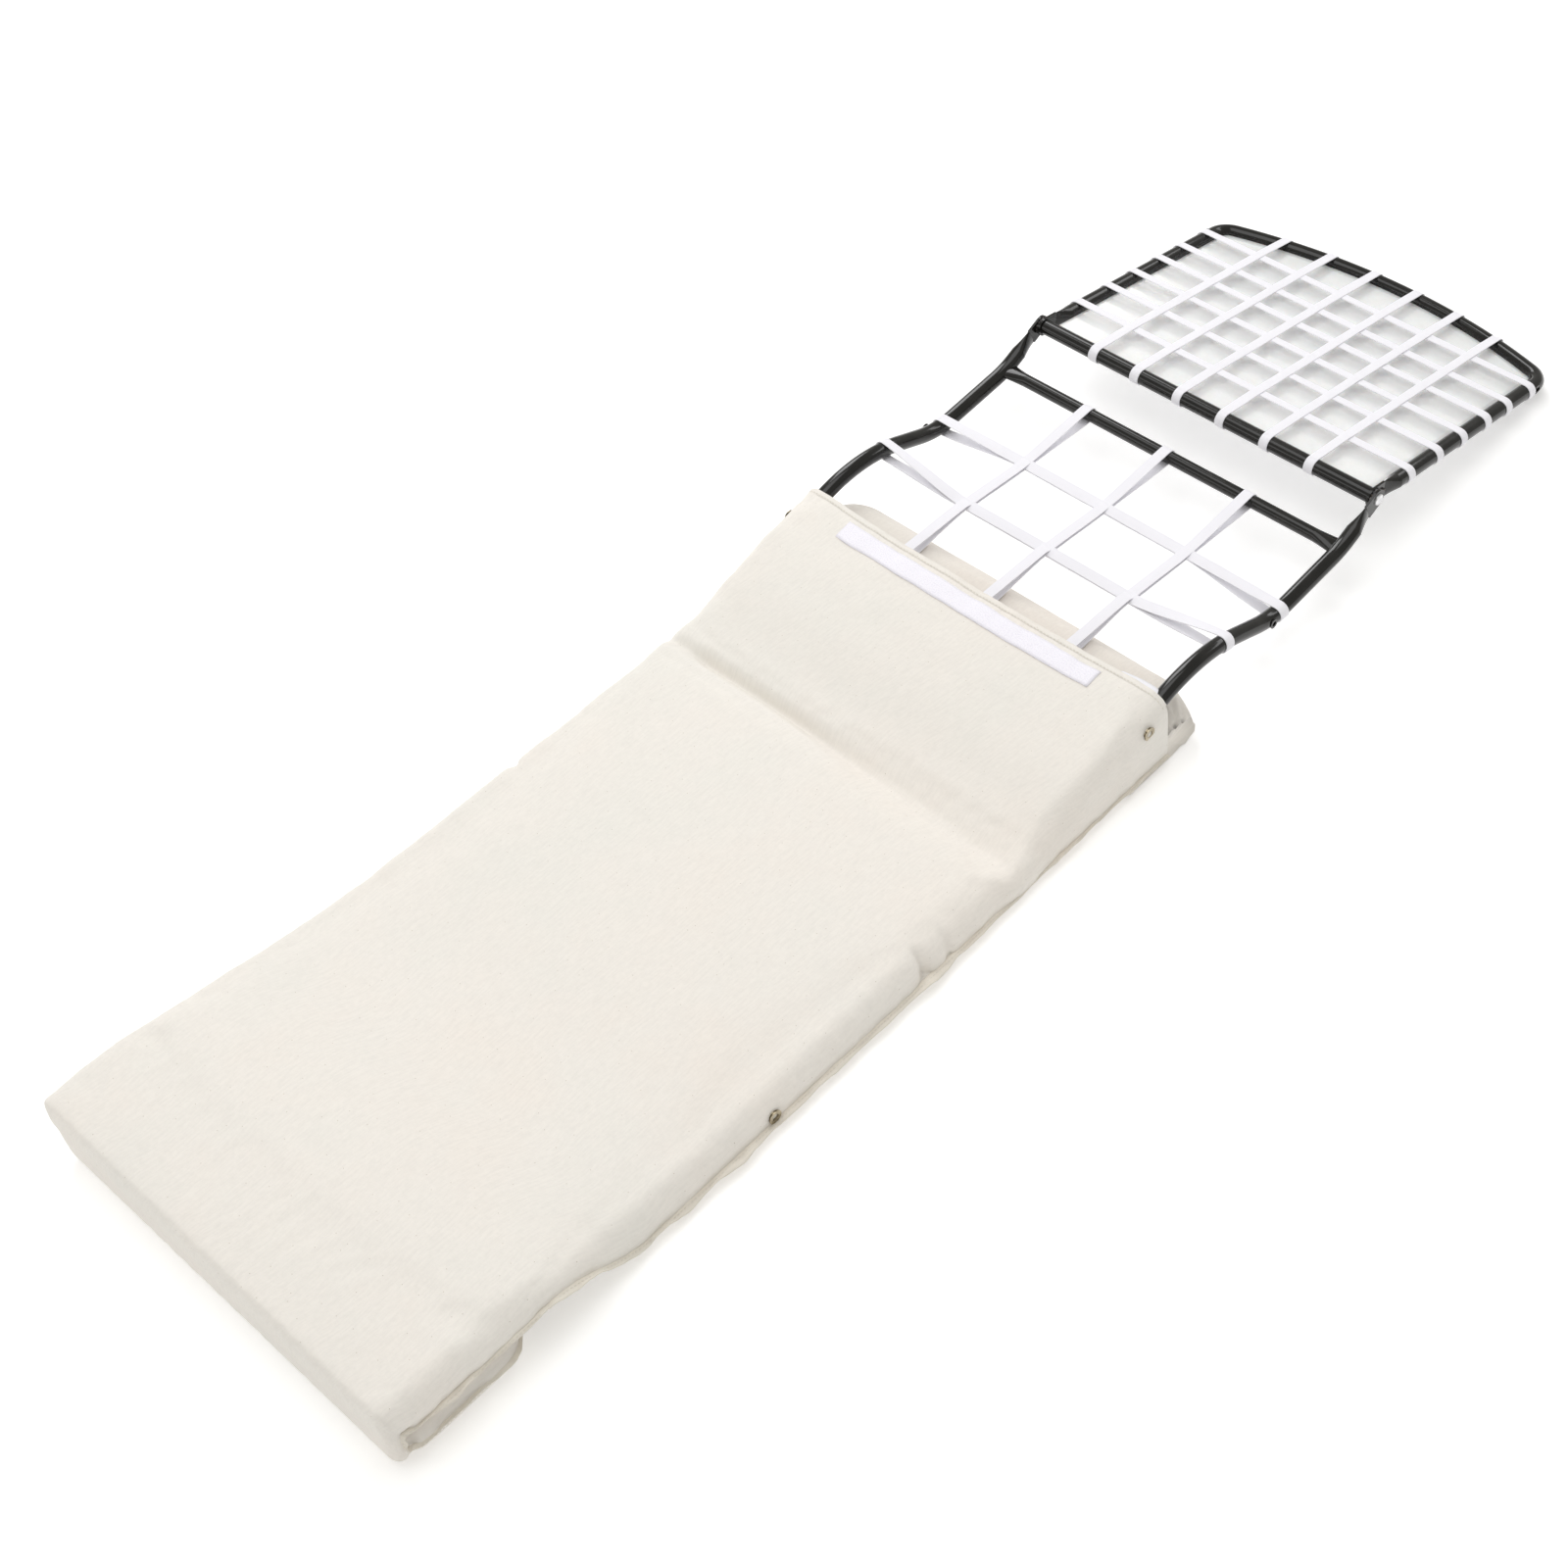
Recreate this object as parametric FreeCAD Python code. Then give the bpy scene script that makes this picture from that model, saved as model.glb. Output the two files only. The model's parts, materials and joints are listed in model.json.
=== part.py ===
"""A legless folding floor lounger: padded seat, padded back and a tubular head section.

Millimetres. X is the width, +Y runs from the foot end to the head end and +Z is up.
The origin is on the floor, in the middle of the lounger's outer box.
"""
import FreeCAD, Part
import math
import os

from FreeCAD import Vector

# Tube stock
tube_diameter = 19.0
tube_wall = 1.2
crossbar_diameter = 16.0
crossbar_flare_length = 34.0
crossbar_flare_width = 27.0
crossbar_flare_thickness = 9.0

# Lengths along the lounger, each measured from the piece before it
seat_length = 850.0
back_length = 636.0
head_reach = 410.0

# Widths, the rails measured from centre to centre
rail_spacing = 500.0
cover_width = 532.0

# Seat and foot mat
seat_thickness = 46.0
foot_fold_length = 168.0
foot_layer_thickness = 41.0
foot_top_height = 88.0
foot_slope_end = 330.0
seat_frame_front = 300.0
seat_frame_corner_radius = 60.0
seat_crossbar_setback = 62.0

# Back
hinge_height = 21.0
crease_half_width = 31.0
back_cover_length = 238.0
back_cover_height = 97.8
back_lip_length = 297.0
back_lip_height = 62.0
back_lip_rise = 7.0
back_shoulder_station = 110.0
back_shoulder_height = 72.0
rail_crest_station = 310.0
rail_crest_height = 104.0
rail_dip_station = 440.0
rail_dip_height = 51.0
back_crossbar_station = 568.0
back_crossbar_height = 61.0
lower_crossbar_station = 190.0
head_pivot_height = 89.0

# Head hoop
head_arch = 45.0
head_corner_radius = 28.0

# Flattened tube ends, rivets and ratchets
tang_thickness = 3.0
tang_height = 24.0
tang_length = 20.0
taper_length = 26.0
tang_gap = 3.2
rivet_radius = 4.0
rivet_head_radius = 7.0
rivet_head_thickness = 2.5
running_clearance = 0.05
ratchet_radius = 11.6
ratchet_teeth = 14
ratchet_tooth_depth = 1.8
pawl_length = 6.5
pawl_height = 8.0

# Elastic straps
strap_width = 12.0
strap_thickness = 1.0
liner_thickness = 0.8
lengthwise_strap_spacing = 120.0
head_strap_spacing = 64.0
head_strap_count = 6
back_strap_stations = (352.0, 452.0)
hidden_strap_stations = (70.0, 130.0)
head_strap_stations = (66.0, 125.0, 177.0, 229.0, 276.0, 328.0)
seat_strap_count = 6
strap_pull = 4.5
strap_run_gap = 0.2
strap_ease = 0.1

# Cloth, foam, strip and hardware
cover_thickness = 1.2
loose_gap = 0.3
strip_length = 370.0
strip_width = 25.0
strip_thickness = 1.0
strip_setback = 12.0
insert_radius = 4.5
insert_thread_radius = 3.2
insert_length = 12.0
insert_flange_radius = 6.0
insert_flange_thickness = 1.0
eyelet_outer_radius = 8.0
eyelet_hole_radius = 4.0
eyelet_wall = 0.9
seat_insert_station = 478.0
back_insert_station = 205.0
rail_insert_station = 432.0
head_insert_station = 341.5
head_insert_sink = 2.0
hinge_notch_radius = 29.0

# Sizes that follow from the ones above
tube_radius = tube_diameter / 2
crossbar_radius = crossbar_diameter / 2
inner_spacing = rail_spacing - 2 * (tang_thickness + tang_gap)
far_bar_height = tube_radius + strap_thickness
head_slope = -math.asin((head_pivot_height - far_bar_height) / head_reach)
strapped_radius = tube_radius + strap_thickness
overall_length = seat_length + back_length + head_reach * math.cos(head_slope) + strapped_radius
foot_y = -overall_length / 2
crease_y = foot_y + seat_length
pivot_y = crease_y + back_length
sides = {"left": -1, "right": 1}
x_axis = Vector(1, 0, 0)
y_axis = Vector(0, 1, 0)
z_axis = Vector(0, 0, 1)

os.makedirs("parts", exist_ok=True)


def save(name, shape):
    """Write one node."""
    shape.exportStep("parts/" + name + ".step")


def polar(length, angle):
    """A step in the YZ plane, angle measured from +Y towards +Z."""
    return Vector(0, length * math.cos(angle), length * math.sin(angle))


def box(low, high):
    """A block between two corners."""
    size = high - low
    return Part.makeBox(size.x, size.y, size.z, low)


def rod(start, direction, length, radius):
    """A cylinder from a start point."""
    return Part.makeCylinder(radius, length, start, direction)


def rounded_path(points, radii):
    """Straight runs joined by tangent arcs, one radius for each inner point."""
    edges = []
    last = points[0]
    for before, corner, after, radius in zip(points, points[1:], points[2:], radii):
        toward = (before - corner).normalize()
        away = (after - corner).normalize()
        half_angle = toward.getAngle(away) / 2
        setback = radius / math.tan(half_angle)
        start = corner + toward * setback
        end = corner + away * setback
        bisector = (toward + away).normalize()
        middle = corner + bisector * (radius / math.sin(half_angle) - radius)
        edges.append(Part.LineSegment(last, start).toShape())
        edges.append(Part.Arc(start, middle, end).toShape())
        last = end
    edges.append(Part.LineSegment(last, points[-1]).toShape())
    return Part.Wire(edges)


def pipe(path, start, direction, radius):
    """A round bar along a path."""
    ring = Part.Wire(Part.makeCircle(radius, start, direction))
    return path.makePipeShell([ring], True, True)


def tube(path, start, direction):
    """A round tube along a path."""
    outer = pipe(path, start, direction, tube_radius)
    return outer.cut(pipe(path, start, direction, tube_radius - tube_wall))


def oval(center, along, across, half_width, half_height):
    """A closed oval whose long side lies along the given direction."""
    normal = along.cross(across)
    if half_width == half_height:
        curve = Part.Circle(center, normal, half_width)
        curve.XAxis = along
        return Part.Wire(curve.toShape())
    curve = Part.Ellipse(center + along * half_width, center + across * half_height, center)
    return Part.Wire(curve.toShape())


def flattened_end(pivot, x, angle, bore_radius):
    """A tube end pressed flat, with a rounded eye and a bore; the tube leaves at an angle."""
    half = tang_thickness / 2
    plate = box(Vector(-half, 0, -tang_height / 2), Vector(half, tang_length, tang_height / 2))
    eye = rod(Vector(-half, 0, 0), x_axis, tang_thickness, tang_height / 2)
    flat = oval(Vector(0, tang_length, 0), z_axis, x_axis, tang_height / 2, half)
    round_end = oval(Vector(0, tang_length + taper_length, 0), z_axis, x_axis, tube_radius, tube_radius)
    taper = Part.makeLoft([flat, round_end], True)
    end = plate.fuse(eye).fuse(taper)
    end = end.cut(rod(Vector(-tang_thickness, 0, 0), x_axis, 2 * tang_thickness, bore_radius))
    end.rotate(Vector(0, 0, 0), x_axis, math.degrees(angle))
    end.translate(Vector(x, pivot.y, pivot.z))
    return end


def profile_solid(outline, x_low, x_high):
    """A closed YZ wire drawn out along X."""
    solid = Part.Face(outline).extrude(Vector(x_high - x_low, 0, 0))
    solid.translate(Vector(x_low, 0, 0))
    return solid


def side_outline(corners, origin_y):
    """A closed outline in the YZ plane from (station, height, corner radius) triples."""
    points = [Vector(0, origin_y + station, height) for station, height, _ in corners]
    radii = [radius for _, _, radius in corners]
    middle = (points[0] + points[-1]) * 0.5
    path = rounded_path([middle] + points + [middle], radii)
    return Part.Wire(path.Edges)


def hollow_cover(outline):
    """A closed cloth cover of the given side outline, as wide as the lounger."""
    half = cover_width / 2
    outer = profile_solid(outline, -half, half)
    inner_outline = Part.Face(outline).makeOffset2D(-cover_thickness).OuterWire
    inner = profile_solid(inner_outline, -half + cover_thickness, half - cover_thickness)
    return outer.cut(inner)


def filling(outline):
    """The space inside a cover, less a loose gap all round."""
    inset = cover_thickness + loose_gap
    inner_outline = Part.Face(outline).makeOffset2D(-inset).OuterWire
    return profile_solid(inner_outline, -cover_width / 2 + inset, cover_width / 2 - inset)


def strap_loop(start, end, along, crossings=(), end_radius=tube_radius):
    """A closed elastic loop round two parallel bars.

    start and end are the bars' centres. along is the horizontal direction between them.
    Each crossing is (distance from start, height, half gap between the two runs).
    """
    span = (end - start).dot(along)
    width = z_axis.cross(along)

    def point(distance, height):
        return Vector(start.x, start.y, 0) + along * distance + z_axis * height

    def run_points(extra):
        upper = [point(0, start.z + end_radius + extra)]
        upper += [point(d, h + gap + extra) for d, h, gap in crossings]
        upper.append(point(span, end.z + end_radius + extra))
        lower = [point(span, end.z - end_radius - extra)]
        lower += [point(d, h - gap - extra) for d, h, gap in reversed(crossings)]
        lower.append(point(0, start.z - end_radius - extra))
        return upper, lower

    def closed(extra):
        upper, lower = run_points(extra)
        edges = [Part.LineSegment(a, b).toShape() for a, b in zip(upper, upper[1:])]
        reach = end_radius + extra
        edges.append(Part.Arc(upper[-1], point(span + reach, end.z), lower[0]).toShape())
        edges += [Part.LineSegment(a, b).toShape() for a, b in zip(lower, lower[1:])]
        edges.append(Part.Arc(lower[-1], point(-reach, start.z), upper[0]).toShape())
        return Part.Face(Part.Wire(edges))

    band = closed(strap_thickness).cut(closed(0)).extrude(width * strap_width)
    band.translate(width * (-strap_width / 2))
    return band


def flat_crossings(distances, heights, half_gap):
    """Crossings with a level stretch as wide as the strap that passes there."""
    reach = strap_width / 2 + strap_thickness
    crossings = []
    for distance, height in zip(distances, heights):
        crossings.append((distance - reach, height, half_gap))
        crossings.append((distance + reach, height, half_gap))
    return crossings


def spread(count, first, last):
    """Evenly spaced values from first to last."""
    return [first + (last - first) * i / (count - 1) for i in range(count)]


def rail_path_points():
    """The back rail's centreline in the side view, from the hinge to the head pivot."""
    stations = (
        (0, hinge_height),
        (rail_crest_station, rail_crest_height),
        (rail_dip_station, rail_dip_height),
        (back_crossbar_station, back_crossbar_height),
        (back_length, head_pivot_height),
    )
    return [Vector(0, crease_y + station, height) for station, height in stations]


rail_bend_radii = (200.0, 130.0, 110.0)


def rail_height(station):
    """Height of the rail's centreline at a station behind the crease."""
    points = rail_path_points()
    curve = rounded_path(points, rail_bend_radii)
    y = crease_y + station
    cutter = Part.LineSegment(Vector(0, y, -500), Vector(0, y, 500)).toShape()
    return curve.distToShape(cutter)[1][0][0].z


def shifted(points, x):
    """The same points at another place across the lounger."""
    return [Vector(x, p.y, p.z) for p in points]


def crossbar(station_y, height, half_length, cutters):
    """A straight tube whose ends are pressed to an oval and coped to the rails."""
    straight = half_length - crossbar_flare_length
    bar = rod(Vector(-straight, station_y, height), x_axis, 2 * straight, crossbar_radius)
    bar = bar.cut(rod(Vector(-straight, station_y, height), x_axis, 2 * straight, crossbar_radius - tube_wall))
    for side in sides.values():
        near = Vector(side * straight, station_y, height)
        far = Vector(side * half_length, station_y, height)
        first = oval(near, y_axis, z_axis, crossbar_radius, crossbar_radius)
        second = oval(far, y_axis, z_axis, crossbar_flare_width / 2, crossbar_flare_thickness / 2)
        bar = bar.fuse(Part.makeLoft([first, second], True))
    for cutter in cutters:
        bar = bar.cut(cutter)
    return bar


def threaded_insert(wall_x, side, y, z):
    """A threaded insert through a rail's outer wall, flange outside."""
    outward = Vector(side, 0, 0)
    outer = Vector(wall_x + side * insert_flange_thickness, y, z)
    shank_start = outer - outward * (insert_length + insert_flange_thickness)
    body = rod(shank_start, outward, insert_length + insert_flange_thickness, insert_radius)
    flange = rod(Vector(wall_x, y, z), outward, insert_flange_thickness, insert_flange_radius)
    bore_length = insert_length + 2 * insert_flange_thickness
    bore = rod(shank_start - outward * insert_flange_thickness, outward, bore_length + 2, insert_thread_radius)
    return body.fuse(flange).cut(bore)


def insert_hole(wall_x, side, y, z):
    """The hole that an insert sits in."""
    outward = Vector(side, 0, 0)
    start = Vector(wall_x, y, z) - outward * (insert_length + insert_flange_thickness)
    return rod(start, outward, insert_length + 3 * insert_flange_thickness, insert_radius)


def eyelet(side, y, z):
    """A two-part metal eyelet set in the side of a cover."""
    outward = Vector(side, 0, 0)
    face = cover_width / 2 * side
    outside = rod(Vector(face, y, z), outward, eyelet_wall, eyelet_outer_radius)
    barrel_start = Vector(face, y, z) - outward * (cover_thickness + eyelet_wall)
    barrel = rod(barrel_start, outward, cover_thickness + 2 * eyelet_wall, eyelet_hole_radius + eyelet_wall)
    inside = rod(barrel_start, outward, eyelet_wall, eyelet_outer_radius - eyelet_wall)
    hole = rod(barrel_start - outward, outward, 6, eyelet_hole_radius)
    return outside.fuse(barrel).fuse(inside).cut(hole)


def eyelet_hole(side, y, z):
    """The hole in the cloth that an eyelet's barrel fills."""
    outward = Vector(side, 0, 0)
    start = Vector(side * (cover_width / 2 - 5), y, z)
    return rod(start, outward, 10, eyelet_hole_radius + eyelet_wall)


def ratchet_disc(pivot, side):
    """A toothed disc on the outer tang's inner face."""
    outer_face = rail_spacing / 2 - tang_thickness / 2
    thickness = tang_gap - loose_gap
    points = []
    for step in range(2 * ratchet_teeth):
        radius = ratchet_radius if step % 2 == 0 else ratchet_radius - ratchet_tooth_depth
        angle = math.pi * step / ratchet_teeth
        points.append(Vector(0, pivot.y, pivot.z) + polar(radius, angle))
    outline = Part.makePolygon(points + [points[0]])
    low = min(side * outer_face, side * (outer_face - thickness))
    disc = profile_solid(outline, low, low + thickness)
    return disc.cut(rod(Vector(low - 1, pivot.y, pivot.z), x_axis, thickness + 2, rivet_radius))


def pawl(pivot, side, angle):
    """A block on the inner tang that the toothed disc clicks past."""
    inner_face = inner_spacing / 2 + tang_thickness / 2
    thickness = tang_gap - 2 * loose_gap
    low = min(side * inner_face, side * (inner_face + thickness))
    start = ratchet_radius + 2 * loose_gap
    block = box(
        Vector(low, start, -pawl_height / 2),
        Vector(low + thickness, start + pawl_length, pawl_height / 2),
    )
    block.rotate(Vector(0, 0, 0), x_axis, math.degrees(angle))
    block.translate(Vector(0, pivot.y, pivot.z))
    return block


def pivot_rivet(pivot, side):
    """A rivet through both tangs, tight in the outer one and free in the inner one."""
    outer_face = rail_spacing / 2 + tang_thickness / 2
    inner_face = inner_spacing / 2 - tang_thickness / 2 - loose_gap
    outward = Vector(side, 0, 0)
    inner = Vector(side * inner_face, pivot.y, pivot.z)
    shank = rod(inner, outward, outer_face - inner_face, rivet_radius)
    outer_head = rod(Vector(side * outer_face, pivot.y, pivot.z), outward, rivet_head_thickness,
                     rivet_head_radius)
    inner_head = rod(inner, outward * -1, rivet_head_thickness, rivet_head_radius)
    head_edge = rivet_head_thickness * 0.6
    outer_head = outer_head.makeFillet(head_edge, [outer_rim(outer_head, side)])
    return shank.fuse(outer_head).fuse(inner_head)


def outer_rim(head, side):
    """The round edge of a rivet head that faces away from the lounger."""
    rims = [edge for edge in head.Edges if isinstance(edge.Curve, Part.Circle)]
    return max(rims, key=lambda edge: side * edge.CenterOfMass.x)


hinge = Vector(0, crease_y, hinge_height)
head_pivot = Vector(0, pivot_y, head_pivot_height)
rail_points = rail_path_points()
hinge_angle = math.atan2(rail_crest_height - hinge_height, rail_crest_station)
neck_angle = math.atan2(head_pivot_height - back_crossbar_height, back_length - back_crossbar_station)
end_length = tang_length + taper_length


def back_rail_outline():
    """The rail's bent run between its two flattened ends."""
    first = rail_points[0] + polar(end_length, hinge_angle)
    last = rail_points[-1] - polar(end_length, neck_angle)
    return [first] + rail_points[1:-1] + [last]


def back_rail_bar(side, radius):
    """The solid outer shape of a back rail, used to cope what is welded to it."""
    points = shifted(back_rail_outline(), side * rail_spacing / 2)
    return pipe(rounded_path(points, rail_bend_radii), points[0], polar(1, hinge_angle), radius)


def make_back_rails():
    """Two bent rails, flattened at both ends."""
    for name, side in sides.items():
        x = side * rail_spacing / 2
        points = shifted(back_rail_outline(), x)
        rail = tube(rounded_path(points, rail_bend_radii), points[0], polar(1, hinge_angle))
        rail = rail.fuse(flattened_end(hinge, x, hinge_angle, rivet_radius))
        rail = rail.fuse(flattened_end(head_pivot, x, neck_angle + math.pi, rivet_radius))
        for station in (back_insert_station, rail_insert_station):
            wall = side * (rail_spacing / 2 + tube_radius)
            rail = rail.cut(insert_hole(wall, side, crease_y + station, rail_height(station)))
        save("back_rail_" + name, rail)


def make_inserts_and_eyelets():
    """Threaded inserts in the rails and the eyelets that lead to them."""
    for name, side in sides.items():
        back_wall = side * (rail_spacing / 2 + tube_radius)
        seat_wall = side * (inner_spacing / 2 + tube_radius)
        seat_y = foot_y + seat_insert_station
        back_y = crease_y + back_insert_station
        rail_y = crease_y + rail_insert_station
        save("seat_insert_" + name, threaded_insert(seat_wall, side, seat_y, hinge_height))
        save("back_insert_" + name,
             threaded_insert(back_wall, side, back_y, rail_height(back_insert_station)))
        save("rail_insert_" + name,
             threaded_insert(back_wall, side, rail_y, rail_height(rail_insert_station)))
        save("seat_eyelet_" + name, eyelet(side, seat_y, hinge_height))
        save("back_eyelet_" + name, eyelet(side, back_y, rail_height(back_insert_station)))


def make_hinges():
    """Discs, pawls and rivets of the back hinge and the head hinge."""
    for name, side in sides.items():
        save("back_ratchet_" + name, ratchet_disc(hinge, side))
        save("head_ratchet_" + name, ratchet_disc(head_pivot, side))
        save("back_pawl_" + name, pawl(hinge, side, math.pi))
        save("head_pawl_" + name, pawl(head_pivot, side, head_slope))
        save("back_pivot_" + name, pivot_rivet(hinge, side))
        save("head_pivot_" + name, pivot_rivet(head_pivot, side))


def seat_frame_path():
    """The seat frame's U, from the left hinge forward, across and back."""
    x = inner_spacing / 2
    start_y = crease_y - end_length
    front_y = foot_y + seat_frame_front
    corners = [(-x, start_y), (-x, front_y), (x, front_y), (x, start_y)]
    points = [Vector(px, py, hinge_height) for px, py in corners]
    return points, rounded_path(points, (seat_frame_corner_radius, seat_frame_corner_radius))


def make_seat_frame():
    """The hidden U-shaped seat frame and its rear crossbar."""
    points, path = seat_frame_path()
    frame = tube(path, points[0], y_axis)
    bar = pipe(path, points[0], y_axis, tube_radius)
    for side in sides.values():
        x = side * inner_spacing / 2
        frame = frame.fuse(flattened_end(hinge, x, math.pi, rivet_radius + running_clearance))
        wall = side * (inner_spacing / 2 + tube_radius)
        frame = frame.cut(insert_hole(wall, side, foot_y + seat_insert_station, hinge_height))
    save("seat_frame", frame)
    save("seat_crossbar",
         crossbar(crease_y - seat_crossbar_setback, hinge_height, inner_spacing / 2, [bar]))


def flat_straps(stations_y, spacing, height):
    """Crosswise loops round two straight rails."""
    loops = []
    for y in stations_y:
        start = Vector(-spacing / 2, y, height)
        end = Vector(spacing / 2, y, height)
        loops.append(strap_loop(start, end, x_axis))
    return loops


def make_seat_straps():
    """Elastic loops that carry the seat foam."""
    front_y = foot_y + seat_frame_front
    rear_y = crease_y - seat_crossbar_setback
    first = front_y + seat_frame_corner_radius + strap_width
    last = rear_y - 2 * strap_width - crossbar_radius
    rows = spread(seat_strap_count, first, last)
    save("seat_straps_crosswise", Part.makeCompound(flat_straps(rows, inner_spacing, hinge_height)))
    loops = []
    half_gap = tube_radius + strap_thickness + 0.1
    edge = strap_width
    for x in (-lengthwise_strap_spacing, 0, lengthwise_strap_spacing):
        start = Vector(x, front_y, hinge_height)
        end = Vector(x, rear_y, hinge_height)
        crossings = (
            (first - edge - front_y, hinge_height, half_gap),
            (last + edge - front_y, hinge_height, half_gap),
        )
        loop = strap_loop(start, end, y_axis, crossings)
        bar = rod(Vector(-cover_width / 2, rear_y, hinge_height), x_axis, cover_width, tube_radius)
        loops.append(loop.cut(bar))
    save("seat_straps_lengthwise", Part.makeCompound(loops))


def seat_outline():
    """The seat cover's side view: raised foot end, flat seat, slanted face at the crease."""
    gap = 1.0
    top = foot_layer_thickness + 0.5
    corners = (
        (0, top, 12),
        (foot_fold_length, top, 20),
        (foot_slope_end - 2 * seat_thickness, 0, 30),
        (seat_length - gap, 0, 2),
        (seat_length - gap, hinge_height, 2),
        (seat_length - crease_half_width, seat_thickness, 8),
        (foot_slope_end, seat_thickness, 60),
        (foot_fold_length + 10, foot_top_height, 60),
        (0, foot_top_height, 16),
    )
    return side_outline(corners, foot_y)


def back_outline():
    """The back cover's side view, with a lip of the lower pad under its open edge."""
    gap = 1.0
    corners = (
        (gap, 0, 2),
        (back_lip_length, 0, 44),
        (back_lip_length, back_lip_height + back_lip_rise, 12),
        (back_cover_length, back_lip_height + 2, 2),
        (back_cover_length, back_cover_height, 2),
        (back_shoulder_station, back_shoulder_height, 60),
        (crease_half_width, seat_thickness, 8),
        (gap, hinge_height, 2),
    )
    return side_outline(corners, crease_y)


def hinge_notches(limit_x):
    """Room round each hinge, so that the flattened ends can turn."""
    notches = []
    for side in sides.values():
        inner = inner_spacing / 2 - tang_thickness - 2 * rivet_head_thickness
        start = Vector(side * inner, crease_y, hinge_height)
        length = limit_x - inner
        cylinder = rod(start, Vector(side, 0, 0), length, hinge_notch_radius)
        floor_cut = box(Vector(-cover_width, crease_y - 60, -60), Vector(cover_width, crease_y + 60, 2.5))
        notches.append(cylinder.cut(floor_cut))
    return notches


def make_seat_soft():
    """Seat cover, the foam in it and the thin pad below the frame."""
    outline = seat_outline()
    cover = hollow_cover(outline)
    space = filling(outline)
    limit = cover_width / 2 - cover_thickness
    layer_low = hinge_height - tube_radius - 2 * strap_thickness - 2 * loose_gap
    layer_high = hinge_height + tube_radius + 2 * strap_thickness + 2 * loose_gap
    front = foot_y + seat_frame_front - tube_radius - 2 * strap_thickness - loose_gap
    layer = box(Vector(-cover_width, front, layer_low), Vector(cover_width, crease_y, layer_high))
    below = box(Vector(-cover_width, front, -10), Vector(cover_width, crease_y, layer_high))
    foam = space.cut(below)
    under = space.common(below).cut(layer)
    for notch in hinge_notches(limit):
        cover = cover.cut(notch)
        foam = foam.cut(notch)
        under = under.cut(notch)
    for side in sides.values():
        cover = cover.cut(eyelet_hole(side, foot_y + seat_insert_station, hinge_height))
    save("seat_cover", cover)
    save("seat_foam", foam)
    save("seat_base_pad", under)


def make_foot_fold():
    """The end of the mat that is folded back under the foot end."""
    low = 0.0
    high = foot_layer_thickness
    corners = (
        (1.0, low, 14),
        (foot_fold_length, low, 14),
        (foot_fold_length, high, 14),
        (1.0, high, 6),
    )
    outline = side_outline(corners, foot_y)
    save("foot_cover", hollow_cover(outline))
    save("foot_foam", filling(outline))


def rail_band(offset_low, offset_high):
    """The space between two levels that follow the back rails' straight lower run."""
    start = rail_points[0] - polar(60, hinge_angle)
    end = rail_points[0] + polar(400, hinge_angle)
    lift = polar(1, hinge_angle + math.pi / 2)
    points = [start + lift * offset_low, end + lift * offset_low,
              end + lift * offset_high, start + lift * offset_high]
    return profile_solid(Part.makePolygon(points + [points[0]]), -cover_width, cover_width)


def make_back_soft():
    """Back cover with its open edge, the foam and the pad below the rails."""
    outline = back_outline()
    cover = hollow_cover(outline)
    space = filling(outline)
    limit = cover_width / 2 - cover_thickness
    reach = tube_radius + 2 * strap_thickness + 2 * loose_gap
    foam_end = box(Vector(-cover_width, crease_y + back_insert_station, -10),
                   Vector(cover_width, crease_y + 400, 200))
    foam = space.common(rail_band(reach, 300)).cut(foam_end)
    lip_top = box(Vector(-cover_width, crease_y + lower_crossbar_station, back_lip_height - 1.5),
                  Vector(cover_width, crease_y + 400, 200))
    under = space.common(rail_band(-300, -reach)).cut(lip_top)
    mouth = box(
        Vector(-cover_width / 2 + 4, crease_y + back_cover_length - 20, back_lip_height + 2.5),
        Vector(cover_width / 2 - 4, crease_y + back_cover_length + 40, back_cover_height - 1.6),
    )
    cover = cover.cut(mouth)
    for notch in hinge_notches(limit):
        cover = cover.cut(notch)
        foam = foam.cut(notch)
        under = under.cut(notch)
    for side in sides.values():
        cover = cover.cut(eyelet_hole(side, crease_y + back_insert_station, rail_height(back_insert_station)))
        rail = back_rail_bar(side, tube_radius + loose_gap)
        cover = cover.cut(rail)
        under = under.cut(rail)
    save("back_cover", cover)
    save("back_foam", foam)
    save("back_base_pad", under)


def make_hook_strip():
    """The strip of fastening tape near the back cover's open edge."""
    rise = back_cover_height - back_shoulder_height
    run = back_cover_length - back_shoulder_station
    slope = math.atan2(rise, run)
    edge = Vector(0, crease_y + back_cover_length, back_cover_height)
    far = edge - polar(strip_setback, slope)
    near = far - polar(strip_width, slope)
    lift = polar(strip_thickness, slope + math.pi / 2)
    outline = Part.makePolygon([near, far, far + lift, near + lift, near])
    save("hook_strip", profile_solid(outline, -strip_length / 2, strip_length / 2))


def make_back_crossbars():
    """The exposed crossbar below the neck and the hidden one under the cover."""
    rails = [back_rail_bar(side, tube_radius) for side in sides.values()]
    for name, station in (("back_crossbar", back_crossbar_station),
                          ("back_lower_crossbar", lower_crossbar_station)):
        height = rail_height(station)
        save(name, crossbar(crease_y + station, height, rail_spacing / 2, rails))


def rail_slope(station):
    """The rail's slope at a station, up towards the head."""
    step = 1.0
    return math.atan2(rail_height(station + step) - rail_height(station - step), 2 * step)


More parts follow.
